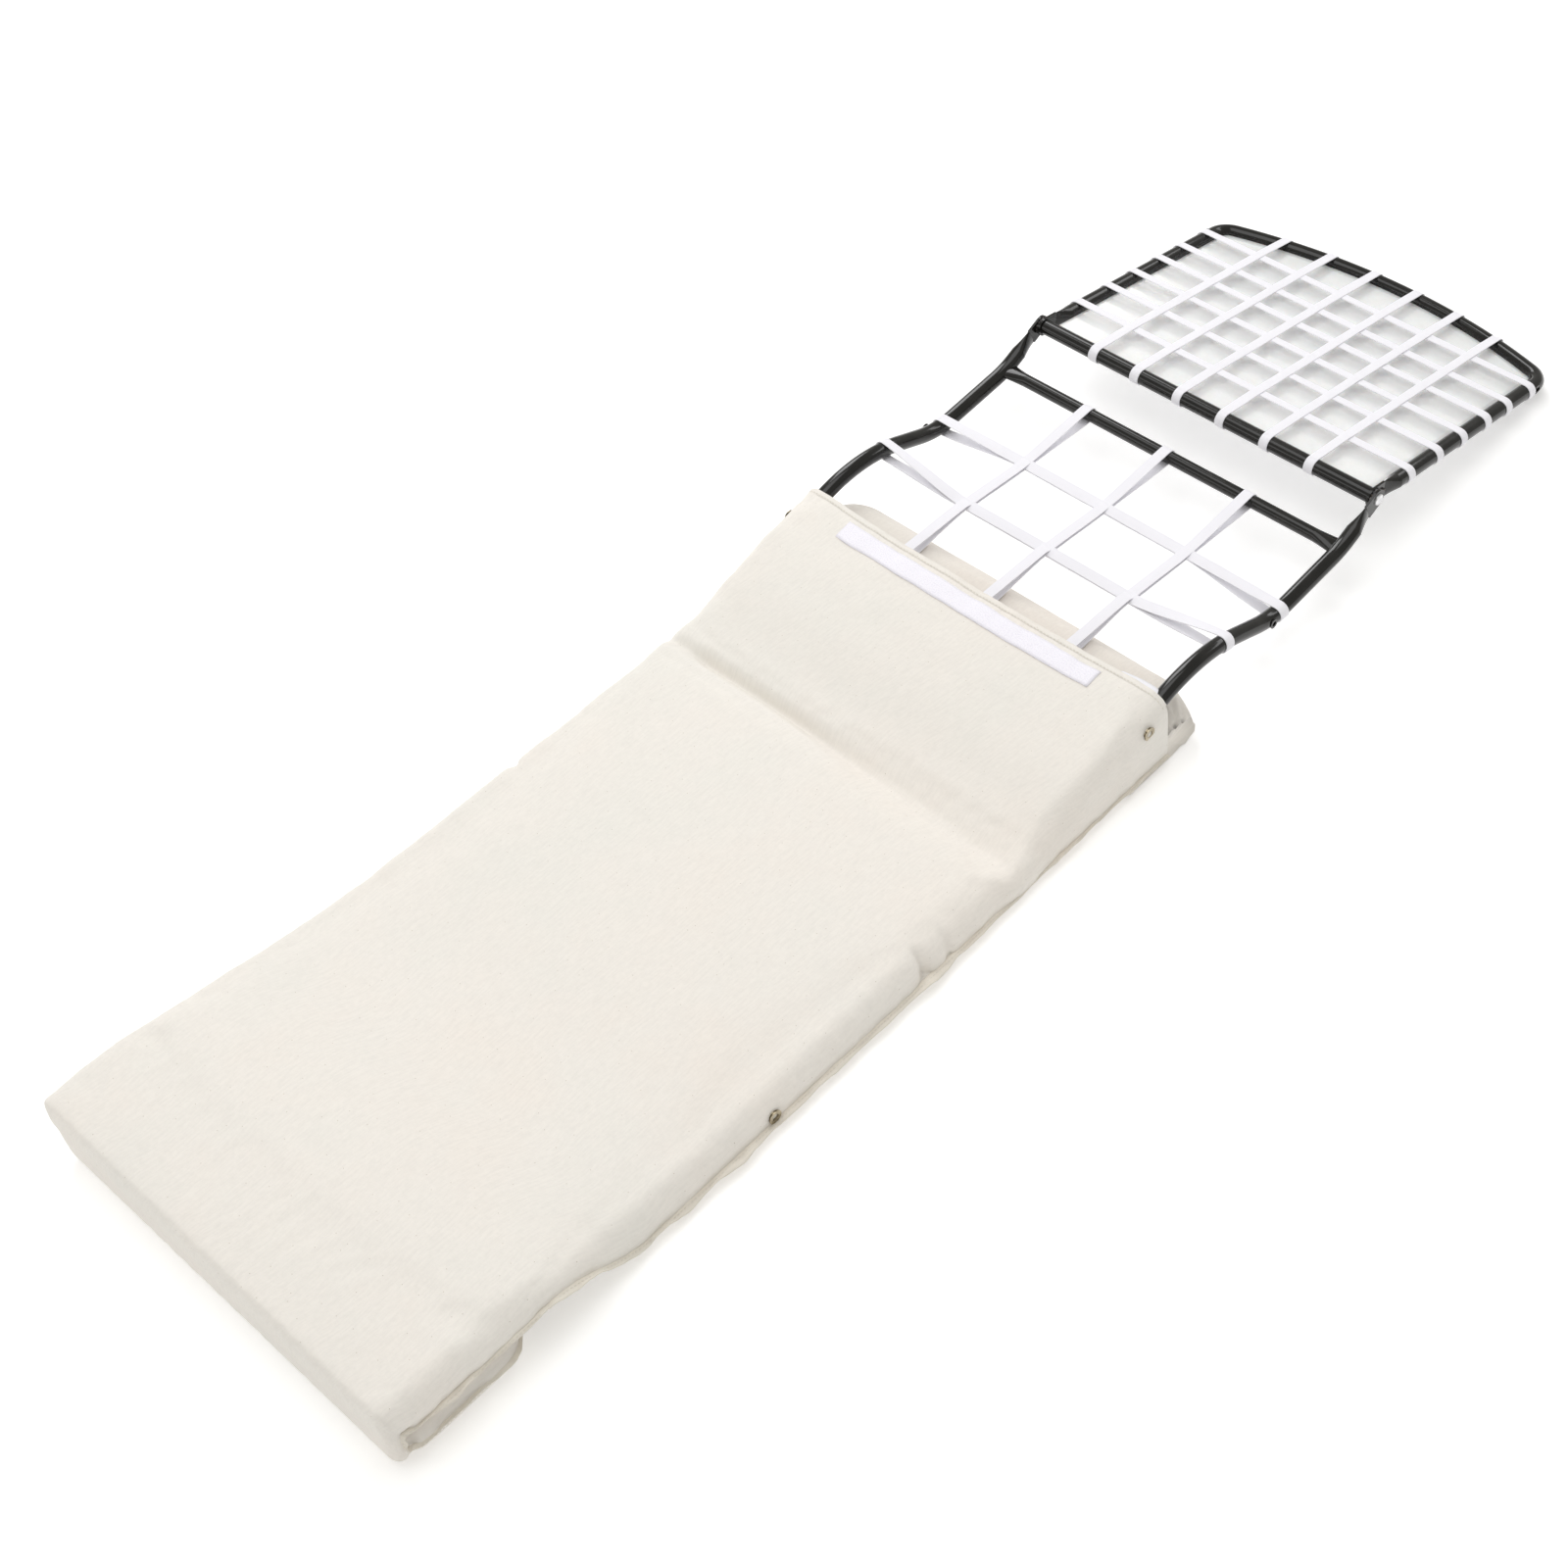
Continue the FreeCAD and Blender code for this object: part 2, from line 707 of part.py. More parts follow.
def make_back_straps():
    """Crosswise loops square to the rails and lengthwise loops round the crossbars."""
    columns = (-lengthwise_strap_spacing, 0, lengthwise_strap_spacing)
    pulls = dict(zip(back_strap_stations, (-strap_pull, strap_pull)))
    crossing_centers = []
    loops = []
    for station in hidden_strap_stations + back_strap_stations:
        slope = rail_slope(station)
        center = Vector(0, crease_y + station, rail_height(station))
        crossings = ()
        if station in pulls:
            level = center.z + pulls[station]
            distances = [x + rail_spacing / 2 for x in columns]
            crossings = flat_crossings(distances, [level] * len(columns), strap_run_gap)
            crossing_centers.append((center + polar(pulls[station], slope + math.pi / 2), slope))
        reach = x_axis * (rail_spacing / 2)
        loop = strap_loop(center - reach, center + reach, x_axis, crossings, tube_radius + strap_ease)
        loop.rotate(center, x_axis, math.degrees(slope))
        loops.append(loop)
    save("back_straps_crosswise", Part.makeCompound(loops))
    low_y = crease_y + lower_crossbar_station
    high_y = crease_y + back_crossbar_station
    loops = []
    for x in columns:
        start = Vector(x, low_y, rail_height(lower_crossbar_station))
        end = Vector(x, high_y, rail_height(back_crossbar_station))
        crossings = []
        for center, slope in crossing_centers:
            half_gap = (strap_run_gap + strap_thickness + strap_ease) / math.cos(slope)
            half_step = polar(strap_width / 2 + strap_thickness, slope)
            for point in (center - half_step, center + half_step):
                crossings.append((point.y - low_y, point.z, half_gap))
        loop = strap_loop(start, end, y_axis, crossings, crossbar_radius)
        for center in (start, end):
            bar = rod(Vector(-cover_width / 2, center.y, center.z), x_axis, cover_width, crossbar_radius)
            loop = loop.cut(bar)
        loops.append(loop)
    save("back_straps_lengthwise", Part.makeCompound(loops))


arch_radius = ((inner_spacing / 2) ** 2 + head_arch ** 2) / (2 * head_arch)
arch_center = head_reach - arch_radius


def tilt(shape):
    """Turn a shape drawn flat at the origin into the sloping head plane."""
    shape.rotate(Vector(0, 0, 0), x_axis, math.degrees(head_slope))
    shape.translate(head_pivot)
    return shape


def arch_station(x, radius=arch_radius):
    """How far from the pivot the arched bar lies at a place across the head."""
    return arch_center + math.sqrt(radius ** 2 - x ** 2)


def hoop_path():
    """The head hoop's centreline, drawn flat: rail, corner, arched bar, corner, rail."""
    half = inner_spacing / 2
    corner_x = half - head_corner_radius
    corner_s = arch_center + math.sqrt((arch_radius - head_corner_radius) ** 2 - corner_x ** 2)
    toward = Vector(corner_x, corner_s - arch_center, 0).normalize()
    meets = Vector(0, arch_center, 0) + toward * arch_radius
    outward = (toward + Vector(1, 0, 0)).normalize()
    middle = Vector(corner_x, corner_s, 0) + outward * head_corner_radius

    def mirrored(p):
        return Vector(-p.x, p.y, p.z)

    start = Vector(half, end_length, 0)
    turn = Vector(half, corner_s, 0)
    apex = Vector(0, head_reach, 0)
    edges = [
        Part.LineSegment(start, turn).toShape(),
        Part.Arc(turn, middle, meets).toShape(),
        Part.Arc(meets, apex, mirrored(meets)).toShape(),
        Part.Arc(mirrored(meets), mirrored(middle), mirrored(turn)).toShape(),
        Part.LineSegment(mirrored(turn), mirrored(start)).toShape(),
    ]
    return start, Part.Wire(edges)


def make_head():
    """The head hoop, its near bar, straps and liner."""
    start, path = hoop_path()
    hoop = tube(path, start, y_axis)
    wall = inner_spacing / 2 + tube_radius - head_insert_sink
    for name, side in sides.items():
        insert = threaded_insert(side * wall, side, head_insert_station, 0)
        hoop = hoop.cut(insert_hole(side * wall, side, head_insert_station, 0)).cut(insert)
        save("head_insert_" + name, tilt(insert))
    hoop = tilt(hoop)
    for side in sides.values():
        x = side * inner_spacing / 2
        hoop = hoop.fuse(flattened_end(head_pivot, x, head_slope, rivet_radius + running_clearance))
    save("head_hoop", hoop)

    half = inner_spacing / 2 - tang_thickness / 2
    bar_start = Vector(-half, pivot_y, head_pivot_height)
    bar = rod(bar_start, x_axis, 2 * half, tube_radius)
    save("head_crossbar", bar.cut(rod(bar_start, x_axis, 2 * half, tube_radius - tube_wall)))

    crosswise = flat_straps(head_strap_stations, inner_spacing, 0)
    save("head_straps_crosswise", tilt(Part.makeCompound(crosswise)))

    hoop_bar = pipe(path, start, y_axis, tube_radius)
    half_gap = tube_radius + strap_thickness + 0.1
    loops = []
    for i in range(head_strap_count):
        x = head_strap_spacing * (i - (head_strap_count - 1) / 2)
        end = Vector(x, arch_station(x), 0)
        crossings = (
            (head_strap_stations[0] - strap_width, 0, half_gap),
            (head_strap_stations[-1] + strap_width, 0, half_gap),
        )
        loops.append(strap_loop(Vector(x, 0, 0), end, y_axis, crossings).cut(hoop_bar))
    save("head_straps_lengthwise", tilt(Part.makeCompound(loops)))

    inset = tube_radius + loose_gap
    side_x = inner_spacing / 2 - inset
    inner_arch = arch_radius - inset
    near = Vector(side_x, inset, 0)
    far = Vector(side_x, arch_station(side_x, inner_arch), 0)
    edges = [
        Part.LineSegment(Vector(-side_x, inset, 0), near).toShape(),
        Part.LineSegment(near, far).toShape(),
        Part.Arc(far, Vector(0, arch_center + inner_arch, 0), Vector(-side_x, far.y, 0)).toShape(),
        Part.LineSegment(Vector(-side_x, far.y, 0), Vector(-side_x, inset, 0)).toShape(),
    ]
    sheet = Part.Face(Part.Wire(edges)).extrude(Vector(0, 0, liner_thickness))
    sheet.translate(Vector(0, 0, -liner_thickness / 2))
    sheet = sheet.cut(pipe(path, start, y_axis, inset))
    for side in sides.values():
        room = tang_height / 2 + loose_gap
        sheet = sheet.cut(box(Vector(side * side_x - room, 0, -2), Vector(side * side_x + room, end_length, 2)))
    sheet = max(sheet.Solids, key=lambda solid: solid.Volume)
    save("head_liner", tilt(sheet))


make_seat_frame()
make_seat_straps()
make_seat_soft()
make_foot_fold()
make_back_rails()
make_back_crossbars()
make_back_straps()
make_back_soft()
make_hook_strip()
make_inserts_and_eyelets()
make_hinges()
make_head()
print("overall length", round(overall_length, 1), "head slope", round(math.degrees(head_slope), 2))
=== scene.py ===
import json
import math

import bmesh
import bpy
from mathutils import Matrix, Vector, noise
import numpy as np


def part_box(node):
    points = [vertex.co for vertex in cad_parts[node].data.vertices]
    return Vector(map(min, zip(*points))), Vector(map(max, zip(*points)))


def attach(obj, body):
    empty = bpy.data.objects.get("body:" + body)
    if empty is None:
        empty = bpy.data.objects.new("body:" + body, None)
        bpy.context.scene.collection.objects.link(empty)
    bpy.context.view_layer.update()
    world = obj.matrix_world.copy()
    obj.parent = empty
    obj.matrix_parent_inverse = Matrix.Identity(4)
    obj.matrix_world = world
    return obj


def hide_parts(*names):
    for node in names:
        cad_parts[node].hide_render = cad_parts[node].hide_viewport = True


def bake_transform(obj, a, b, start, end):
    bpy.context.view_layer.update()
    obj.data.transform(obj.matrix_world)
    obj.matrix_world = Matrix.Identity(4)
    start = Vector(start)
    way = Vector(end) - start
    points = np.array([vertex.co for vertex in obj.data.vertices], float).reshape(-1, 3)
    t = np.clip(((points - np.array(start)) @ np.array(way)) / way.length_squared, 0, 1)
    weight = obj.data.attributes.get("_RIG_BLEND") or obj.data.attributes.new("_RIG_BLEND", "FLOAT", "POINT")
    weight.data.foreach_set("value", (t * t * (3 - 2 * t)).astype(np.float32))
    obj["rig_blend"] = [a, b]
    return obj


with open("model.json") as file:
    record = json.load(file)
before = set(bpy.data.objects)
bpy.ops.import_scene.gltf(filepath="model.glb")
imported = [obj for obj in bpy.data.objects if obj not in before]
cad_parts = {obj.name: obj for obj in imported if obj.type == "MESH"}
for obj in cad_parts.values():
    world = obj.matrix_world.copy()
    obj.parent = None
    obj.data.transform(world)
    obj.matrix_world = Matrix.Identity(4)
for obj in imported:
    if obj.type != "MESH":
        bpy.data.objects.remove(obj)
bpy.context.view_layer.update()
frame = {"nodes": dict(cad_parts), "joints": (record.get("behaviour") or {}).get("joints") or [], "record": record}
nodes = frame["nodes"]
hinges = {joint["name"]: Vector(joint["pos_m"]) for joint in frame["joints"]}
footY = hinges["foot_fold_hinge"].y
creaseY = hinges["back_hinge"].y
neck = hinges["head_hinge"]
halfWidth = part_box("back_cover")[1].x
print("frame loaded", len(nodes), "nodes")


# camera and room

cameraSet = {
    "place": (1.37388, -1.30644, 2.11456),
    "yaw": -47.086,
    "pitch": 47.869,
    "roll": -5.886,
    "lens": 58.602,
    "shift": (-0.0620, -0.0463),
}


def makeCamera():
    yaw, pitch, roll = (math.radians(cameraSet[k]) for k in ("yaw", "pitch", "roll"))
    ahead = Vector((math.sin(yaw) * math.cos(pitch), math.cos(yaw) * math.cos(pitch), -math.sin(pitch)))
    right = Vector((math.cos(yaw), -math.sin(yaw), 0))
    up = right.cross(ahead)
    turnedRight = right * math.cos(roll) + up * math.sin(roll)
    turnedUp = up * math.cos(roll) - right * math.sin(roll)
    data = bpy.data.cameras.new("camera")
    data.lens = cameraSet["lens"]
    data.sensor_width = 36
    data.shift_x, data.shift_y = cameraSet["shift"]
    data.dof.use_dof = False
    camera = bpy.data.objects.new("camera", data)
    bpy.context.scene.collection.objects.link(camera)
    turn = Matrix((turnedRight, turnedUp, -ahead)).transposed()
    camera.matrix_world = Matrix.Translation(cameraSet["place"]) @ turn.to_4x4()
    bpy.context.scene.camera = camera


roomSet = {
    "worldTone": (1.0, 0.985, 0.935),
    "lampTone": (0.985, 0.985, 1.0),
    "worldStrength": 0.52,
    "floorSize": 14.0,
    "floorTone": (0.96, 0.96, 0.96),
    "floorGlow": 0.24,
    "lamps": {
        "windowLamp": ((-2.6, 1.9, 2.5), (1.4, 2.2), 46),
        "overheadLamp": ((-0.3, -0.2, 3.6), (3.2, 3.2), 60),
        "rearLamp": ((0.6, 3.2, 1.9), (2.6, 0.5), 12),
        "footLamp": ((-1.9, -3.0, 1.3), (2.4, 1.2), 11),
    },
}


def makeRoom():
    scene = bpy.context.scene
    scene.view_settings.view_transform = "Standard"
    world = bpy.data.worlds.new("room")
    scene.world = world
    world.use_nodes = True
    background = world.node_tree.nodes["Background"]
    background.inputs["Color"].default_value = (*roomSet["worldTone"], 1)
    background.inputs["Strength"].default_value = roomSet["worldStrength"]
    half = roomSet["floorSize"] / 2
    mesh = bpy.data.meshes.new("floor")
    corners = [(-half, -half, 0), (half, -half, 0), (half, half, 0), (-half, half, 0)]
    mesh.from_pydata(corners, [], [(0, 1, 2, 3)])
    floor = bpy.data.objects.new("floor", mesh)
    floor.location.z = -0.0005
    scene.collection.objects.link(floor)
    paper = plainFinish("floorPaper", roomSet["floorTone"], 0.9)
    glow = paper.node_tree.nodes["Principled BSDF"]
    glow.inputs["Emission Color"].default_value = (1, 1, 1, 1)
    glow.inputs["Emission Strength"].default_value = roomSet["floorGlow"]
    floor.data.materials.append(paper)
    for name, (place, size, power) in roomSet["lamps"].items():
        data = bpy.data.lights.new(name, "AREA")
        data.shape = "RECTANGLE"
        data.size, data.size_y = size
        data.energy = power
        data.color = roomSet["lampTone"]
        lamp = bpy.data.objects.new(name, data)
        lamp.location = place
        lamp.rotation_mode = "QUATERNION"
        lamp.rotation_quaternion = (Vector((0, 0, 0)) - Vector(place)).to_track_quat("-Z", "Y")
        scene.collection.objects.link(lamp)


# shader helpers


def startFinish(name, tone, rough):
    finish = bpy.data.materials.new(name)
    finish.use_nodes = True
    shader = finish.node_tree.nodes["Principled BSDF"]
    shader.inputs["Base Color"].default_value = (*tone, 1)
    shader.inputs["Roughness"].default_value = rough
    return finish, finish.node_tree, shader


def plainFinish(name, tone, rough):
    finish, tree, shader = startFinish(name, tone, rough)
    grain = noiseNode(tree, objectSpot(tree), 40, 2)
    mixNode(tree, grain.outputs["Fac"], tone, [c * 0.985 for c in tone], shader.inputs["Base Color"])
    return finish


def node(tree, kind, **values):
    made = tree.nodes.new(kind)
    for key, value in values.items():
        setattr(made, key, value)
    return made


def objectSpot(tree):
    return node(tree, "ShaderNodeTexCoord").outputs["Object"]


def clothSpot(tree):
    return node(tree, "ShaderNodeTexCoord").outputs["UV"]


def noiseNode(tree, spot, scale, detail=3, rough=0.5):
    made = node(tree, "ShaderNodeTexNoise")
    made.inputs["Scale"].default_value = scale
    made.inputs["Detail"].default_value = detail
    made.inputs["Roughness"].default_value = rough
    tree.links.new(spot, made.inputs["Vector"])
    return made


def rampNode(tree, source, stops):
    made = node(tree, "ShaderNodeValToRGB")
    ramp = made.color_ramp
    while len(ramp.elements) < len(stops):
        ramp.elements.new(0.5)
    for element, (place, tone) in zip(ramp.elements, stops):
        element.position = place
        element.color = (*tone, 1) if hasattr(tone, "__len__") else (tone, tone, tone, 1)
    tree.links.new(source, made.inputs["Fac"])
    return made.outputs["Color"]


def mixNode(tree, factor, first, second, target=None):
    made = node(tree, "ShaderNodeMix", data_type="RGBA")
    if hasattr(factor, "links"):
        tree.links.new(factor, made.inputs[0])
    else:
        made.inputs[0].default_value = factor
    for value, socket in ((first, made.inputs[6]), (second, made.inputs[7])):
        if hasattr(value, "links"):
            tree.links.new(value, socket)
        else:
            socket.default_value = (*value, 1)
    if target is not None:
        tree.links.new(made.outputs[2], target)
    return made.outputs[2]


def mathNode(tree, operation, first, second=0.0):
    made = node(tree, "ShaderNodeMath", operation=operation)
    for value, socket in ((first, made.inputs[0]), (second, made.inputs[1])):
        if hasattr(value, "links"):
            tree.links.new(value, socket)
        else:
            socket.default_value = value
    return made.outputs[0]


def threads(tree, spot, across, along):
    # raised threads in both directions, one over the other
    split = node(tree, "ShaderNodeSeparateXYZ")
    tree.links.new(spot, split.inputs[0])
    u = mathNode(tree, "MULTIPLY", split.outputs[0], 2 * math.pi / across)
    v = mathNode(tree, "MULTIPLY", split.outputs[1], 2 * math.pi / along)
    weft = mathNode(tree, "SINE", u)
    warp = mathNode(tree, "SINE", v)
    return mathNode(tree, "MULTIPLY", weft, warp), weft


def bumpInto(tree, shader, height, strength, distance, below=None):
    made = node(tree, "ShaderNodeBump")
    made.inputs["Strength"].default_value = strength
    made.inputs["Distance"].default_value = distance
    tree.links.new(height, made.inputs["Height"])
    if below is not None:
        tree.links.new(below, made.inputs["Normal"])
    tree.links.new(made.outputs["Normal"], shader.inputs["Normal"])
    return made.outputs["Normal"]


def wrap(tree, spot, width, length):
    # stretches a cloth coordinate, so that threads read longer one way
    made = node(tree, "ShaderNodeMapping")
    made.inputs["Scale"].default_value = (width, length, 1)
    tree.links.new(spot, made.inputs["Vector"])
    return made.outputs["Vector"]


# finishes

canvasSet = {
    "light": (0.872, 0.835, 0.780),
    "warm": (0.878, 0.828, 0.767),
    "grey": (0.850, 0.826, 0.772),
    "fleck": (0.33, 0.25, 0.16),
    "thread": 0.0011,
    "threadDepth": 0.00018,
    "creaseDepth": 0.0012,
}


def makeCanvas(name="canvasCloth", tint=(1, 1, 1), flecked=True):
    tone = [canvasSet["light"][i] * tint[i] for i in range(3)]
    finish, tree, shader = startFinish(name, tone, 0.9)
    cloth = clothSpot(tree)
    broad = noiseNode(tree, objectSpot(tree), 5.5, 4, 0.6)
    warm = [canvasSet["warm"][i] * tint[i] for i in range(3)]
    grey = [canvasSet["grey"][i] * tint[i] for i in range(3)]
    patches = rampNode(tree, broad.outputs["Fac"], [(0.30, grey), (0.52, tone), (0.72, warm)])
    slub = noiseNode(tree, wrap(tree, cloth, 1.0, 0.12), 420, 2)
    grain = noiseNode(tree, cloth, 210, 3, 0.7)
    slubMix = mathNode(tree, "ADD", slub.outputs["Fac"], grain.outputs["Fac"])
    slubTone = rampNode(tree, mathNode(tree, "MULTIPLY", slubMix, 0.5), [(0.36, 0.94), (0.60, 1.0)])
    shaded = node(tree, "ShaderNodeMix", data_type="RGBA", blend_type="MULTIPLY")
    shaded.inputs[0].default_value = 1
    tree.links.new(patches, shaded.inputs[6])
    tree.links.new(slubTone, shaded.inputs[7])
    result = shaded.outputs[2]
    if flecked:
        cells = node(tree, "ShaderNodeTexVoronoi", voronoi_dimensions="2D")
        cells.inputs["Scale"].default_value = 46
        tree.links.new(cloth, cells.inputs["Vector"])
        near = rampNode(tree, cells.outputs["Distance"], [(0.013, 1.0), (0.024, 0.0)])
        pick = node(tree, "ShaderNodeSeparateColor")
        tree.links.new(cells.outputs["Color"], pick.inputs[0])
        chosen = mathNode(tree, "GREATER_THAN", pick.outputs[0], 0.55)
        spots = mathNode(tree, "MULTIPLY", mathNode(tree, "MULTIPLY", near, chosen), 0.65)
        result = mixNode(tree, spots, result, canvasSet["fleck"])
    tree.links.new(result, shader.inputs["Base Color"])
    both = threads(tree, cloth, canvasSet["thread"], canvasSet["thread"])[0]
    fuzz = noiseNode(tree, cloth, 1500, 2)
    weave = mathNode(tree, "ADD", both, fuzz.outputs["Fac"])
    under = node(tree, "ShaderNodeBump")
    under.inputs["Strength"].default_value = 0.35
    under.inputs["Distance"].default_value = canvasSet["creaseDepth"]
    soft = noiseNode(tree, objectSpot(tree), 24, 4, 0.55)
    tree.links.new(soft.outputs["Fac"], under.inputs["Height"])
    bumpInto(tree, shader, weave, 0.5, canvasSet["threadDepth"], under.outputs["Normal"])
    shader.inputs["Sheen Weight"].default_value = 0.18
    shader.inputs["Sheen Roughness"].default_value = 0.5
    shader.inputs["Specular IOR Level"].default_value = 0.25
    return finish


tapeSet = {"tone": (0.93, 0.925, 0.965), "shade": (0.86, 0.85, 0.91), "rib": 0.0012}


def makeElastic(name, tone, shade, rib):
    finish, tree, shader = startFinish(name, tone, 0.62)
    cloth = clothSpot(tree)
    both, weft = threads(tree, cloth, rib, rib * 0.8)
    ribs = rampNode(tree, mathNode(tree, "MULTIPLY_ADD", weft, 0.5), [(0.0, shade), (0.8, tone)])
    worn = noiseNode(tree, objectSpot(tree), 60, 3)
    rubbed = rampNode(tree, worn.outputs["Fac"], [(0.45, 0.0), (0.75, 0.35)])
    mixNode(tree, rubbed, ribs, tone, shader.inputs["Base Color"])
    bumpInto(tree, shader, mathNode(tree, "ADD", both, weft), 0.5, 0.00018)
    shader.inputs["Sheen Weight"].default_value = 0.1
    shader.inputs["Specular IOR Level"].default_value = 0.35
    return finish


def makeLinerFinish():
    tone = (0.80, 0.80, 0.785)
    finish, tree, shader = startFinish("headLinerFelt", tone, 0.85)
    spot = objectSpot(tree)
    fibres = noiseNode(tree, spot, 260, 5, 0.7)
    cloud = noiseNode(tree, spot, 30, 3, 0.6)
    both = mathNode(tree, "ADD", fibres.outputs["Fac"], cloud.outputs["Fac"])
    stops = [(0.36, (0.88, 0.88, 0.865)), (0.62, (0.96, 0.96, 0.945))]
    tones = rampNode(tree, mathNode(tree, "MULTIPLY", both, 0.5), stops)
    tree.links.new(tones, shader.inputs["Base Color"])
    bumpInto(tree, shader, fibres.outputs["Fac"], 0.5, 0.0004)
    shader.inputs["Alpha"].default_value = 0.50
    shader.inputs["Subsurface Weight"].default_value = 0.15
    return finish


def makeHookFinish():
    tone = (0.92, 0.905, 0.96)
    finish, tree, shader = startFinish("hookTapeFuzz", tone, 0.75)
    cloth = clothSpot(tree)
    cells = node(tree, "ShaderNodeTexVoronoi", voronoi_dimensions="2D")
    cells.inputs["Scale"].default_value = 620
    tree.links.new(cloth, cells.inputs["Vector"])
    tones = rampNode(tree, cells.outputs["Distance"], [(0.1, tone), (0.75, (0.84, 0.82, 0.90))])
    tree.links.new(tones, shader.inputs["Base Color"])
    bumpInto(tree, shader, mathNode(tree, "SUBTRACT", 1.0, cells.outputs["Distance"]), 0.6, 0.0006)
    shader.inputs["Sheen Weight"].default_value = 0.2
    return finish


enamelSet = {"tone": (0.0060, 0.0058, 0.0048), "dust": (0.0125, 0.0118, 0.0100), "rough": 0.17}


def makeEnamel():
    finish, tree, shader = startFinish("blackEnamel", enamelSet["tone"], enamelSet["rough"])
    spot = objectSpot(tree)
    dust = noiseNode(tree, spot, 36, 5, 0.65)
    fine = noiseNode(tree, spot, 900, 2)
    settled = rampNode(tree, dust.outputs["Fac"], [(0.48, 0.0), (0.75, 1.0)])
    mixNode(tree, settled, enamelSet["tone"], enamelSet["dust"], shader.inputs["Base Color"])
    rough = rampNode(tree, dust.outputs["Fac"], [(0.3, 0.12), (0.8, 0.24)])
    tree.links.new(rough, shader.inputs["Roughness"])
    peel = noiseNode(tree, spot, 210, 2)
    specks = mathNode(tree, "MULTIPLY", fine.outputs["Fac"], 0.3)
    bumpInto(tree, shader, mathNode(tree, "ADD", peel.outputs["Fac"], specks), 0.12, 0.0003)
    shader.inputs["Specular IOR Level"].default_value = 0.22
    shader.inputs["Coat Weight"].default_value = 0.45
    shader.inputs["Coat Roughness"].default_value = 0.05
    return finish


def makeMetal(name, tone, tarnish, rough, grain=180):
    finish, tree, shader = startFinish(name, tone, rough)
    shader.inputs["Metallic"].default_value = 1
    spot = objectSpot(tree)
    cloud = noiseNode(tree, spot, 120, 4, 0.6)
    dulled = rampNode(tree, cloud.outputs["Fac"], [(0.42, 0.0), (0.72, 0.8)])
    mixNode(tree, dulled, tone, tarnish, shader.inputs["Base Color"])
    uneven = rampNode(tree, cloud.outputs["Fac"], [(0.3, rough * 0.8), (0.8, min(1.0, rough * 1.5))])
    tree.links.new(uneven, shader.inputs["Roughness"])
    brush = noiseNode(tree, spot, grain * 8, 2)
    bumpInto(tree, shader, brush.outputs["Fac"], 0.15, 0.0001)
    return finish


def makeFoamFinish():
    tone = (0.78, 0.73, 0.60)
    finish, tree, shader = startFinish("foamCrumb", tone, 0.95)
    cells = noiseNode(tree, objectSpot(tree), 420, 3)
    mixNode(tree, cells.outputs["Fac"], tone, (0.66, 0.60, 0.47), shader.inputs["Base Color"])
    bumpInto(tree, shader, cells.outputs["Fac"], 0.5, 0.0008)
    return finish


def makeThreadFinish():
    tone = (0.80, 0.765, 0.69)
    finish, tree, shader = startFinish("seamThread", tone, 0.7)
    twist = noiseNode(tree, objectSpot(tree), 1800, 2)
    mixNode(tree, twist.outputs["Fac"], tone, (0.70, 0.66, 0.58), shader.inputs["Base Color"])
    bumpInto(tree, shader, twist.outputs["Fac"], 0.4, 0.0002)
    return finish


makeCamera()
makeRoom()
canvas = makeCanvas()
liningCanvas = makeCanvas("padCanvas", (0.94, 0.925, 0.912), False)
# the seam flanges are the cover's own canvas: its mottling and threads stay, and the darker, yellower tint is
# painted shade of the low side seams
flangeCanvasPaintedShade = makeCanvas("seamCanvasPaintedShade", (0.975, 0.960, 0.915), False)
elastic = makeElastic("whiteElastic", tapeSet["tone"], tapeSet["shade"], tapeSet["rib"])
linerFinish = makeLinerFinish()
hookFinish = makeHookFinish()
enamel = makeEnamel()
nickel = makeMetal("nickelPlate", (0.44, 0.38, 0.27), (0.13, 0.10, 0.055), 0.20)
brass = makeMetal("insertBrass", (0.34, 0.22, 0.075), (0.10, 0.06, 0.022), 0.26)
zinc = makeMetal("rivetZinc", (0.84, 0.84, 0.85), (0.60, 0.60, 0.61), 0.42)
darkSteel = makeMetal("hingeSteel", (0.09, 0.09, 0.095), (0.16, 0.13, 0.10), 0.42)
foamFinish = makeFoamFinish()
threadFinish = makeThreadFinish()
print("camera, room and finishes made")


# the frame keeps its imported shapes

frameFinishes = {
    "black_tube": enamel,
    "nickel": nickel,
    "brass_insert": brass,
    "rivet_steel": zinc,
    "hinge_steel": darkSteel,
    "foam": foamFinish,
    "elastic": elastic,
    "liner": linerFinish,
    "strip": hookFinish,
    "canvas": canvas,
}
nodeSlots = {row["node"]: row["material_slot"] for row in frame["record"]["subparts"]}
for name, piece in nodes.items():
    finish = frameFinishes.get(nodeSlots.get(name, "black_tube"), enamel)
    if name.startswith(("rail_insert", "head_insert")):
        finish = enamel  # these inserts were blackened with the tube
    piece.data.materials.clear()
    piece.data.materials.append(finish)
    for face in piece.data.polygons:
        face.use_smooth = True
    piece.data.set_sharp_from_angle(angle=math.radians(38))


# mesh helpers


def meshPiece(name, points, faces, finish, cloth=None, smooth=True):
    mesh = bpy.data.meshes.new(name)
    mesh.from_pydata([tuple(p) for p in points], [], faces)
    if cloth:
        layer = mesh.uv_layers.new(name="clothMap")
        for loop in mesh.loops:
            layer.data[loop.index].uv = cloth[loop.vertex_index]
    for face in mesh.polygons:
        face.use_smooth = smooth
    mesh.materials.append(finish)
    piece = bpy.data.objects.new(name, mesh)
    bpy.context.scene.collection.objects.link(piece)
    return piece


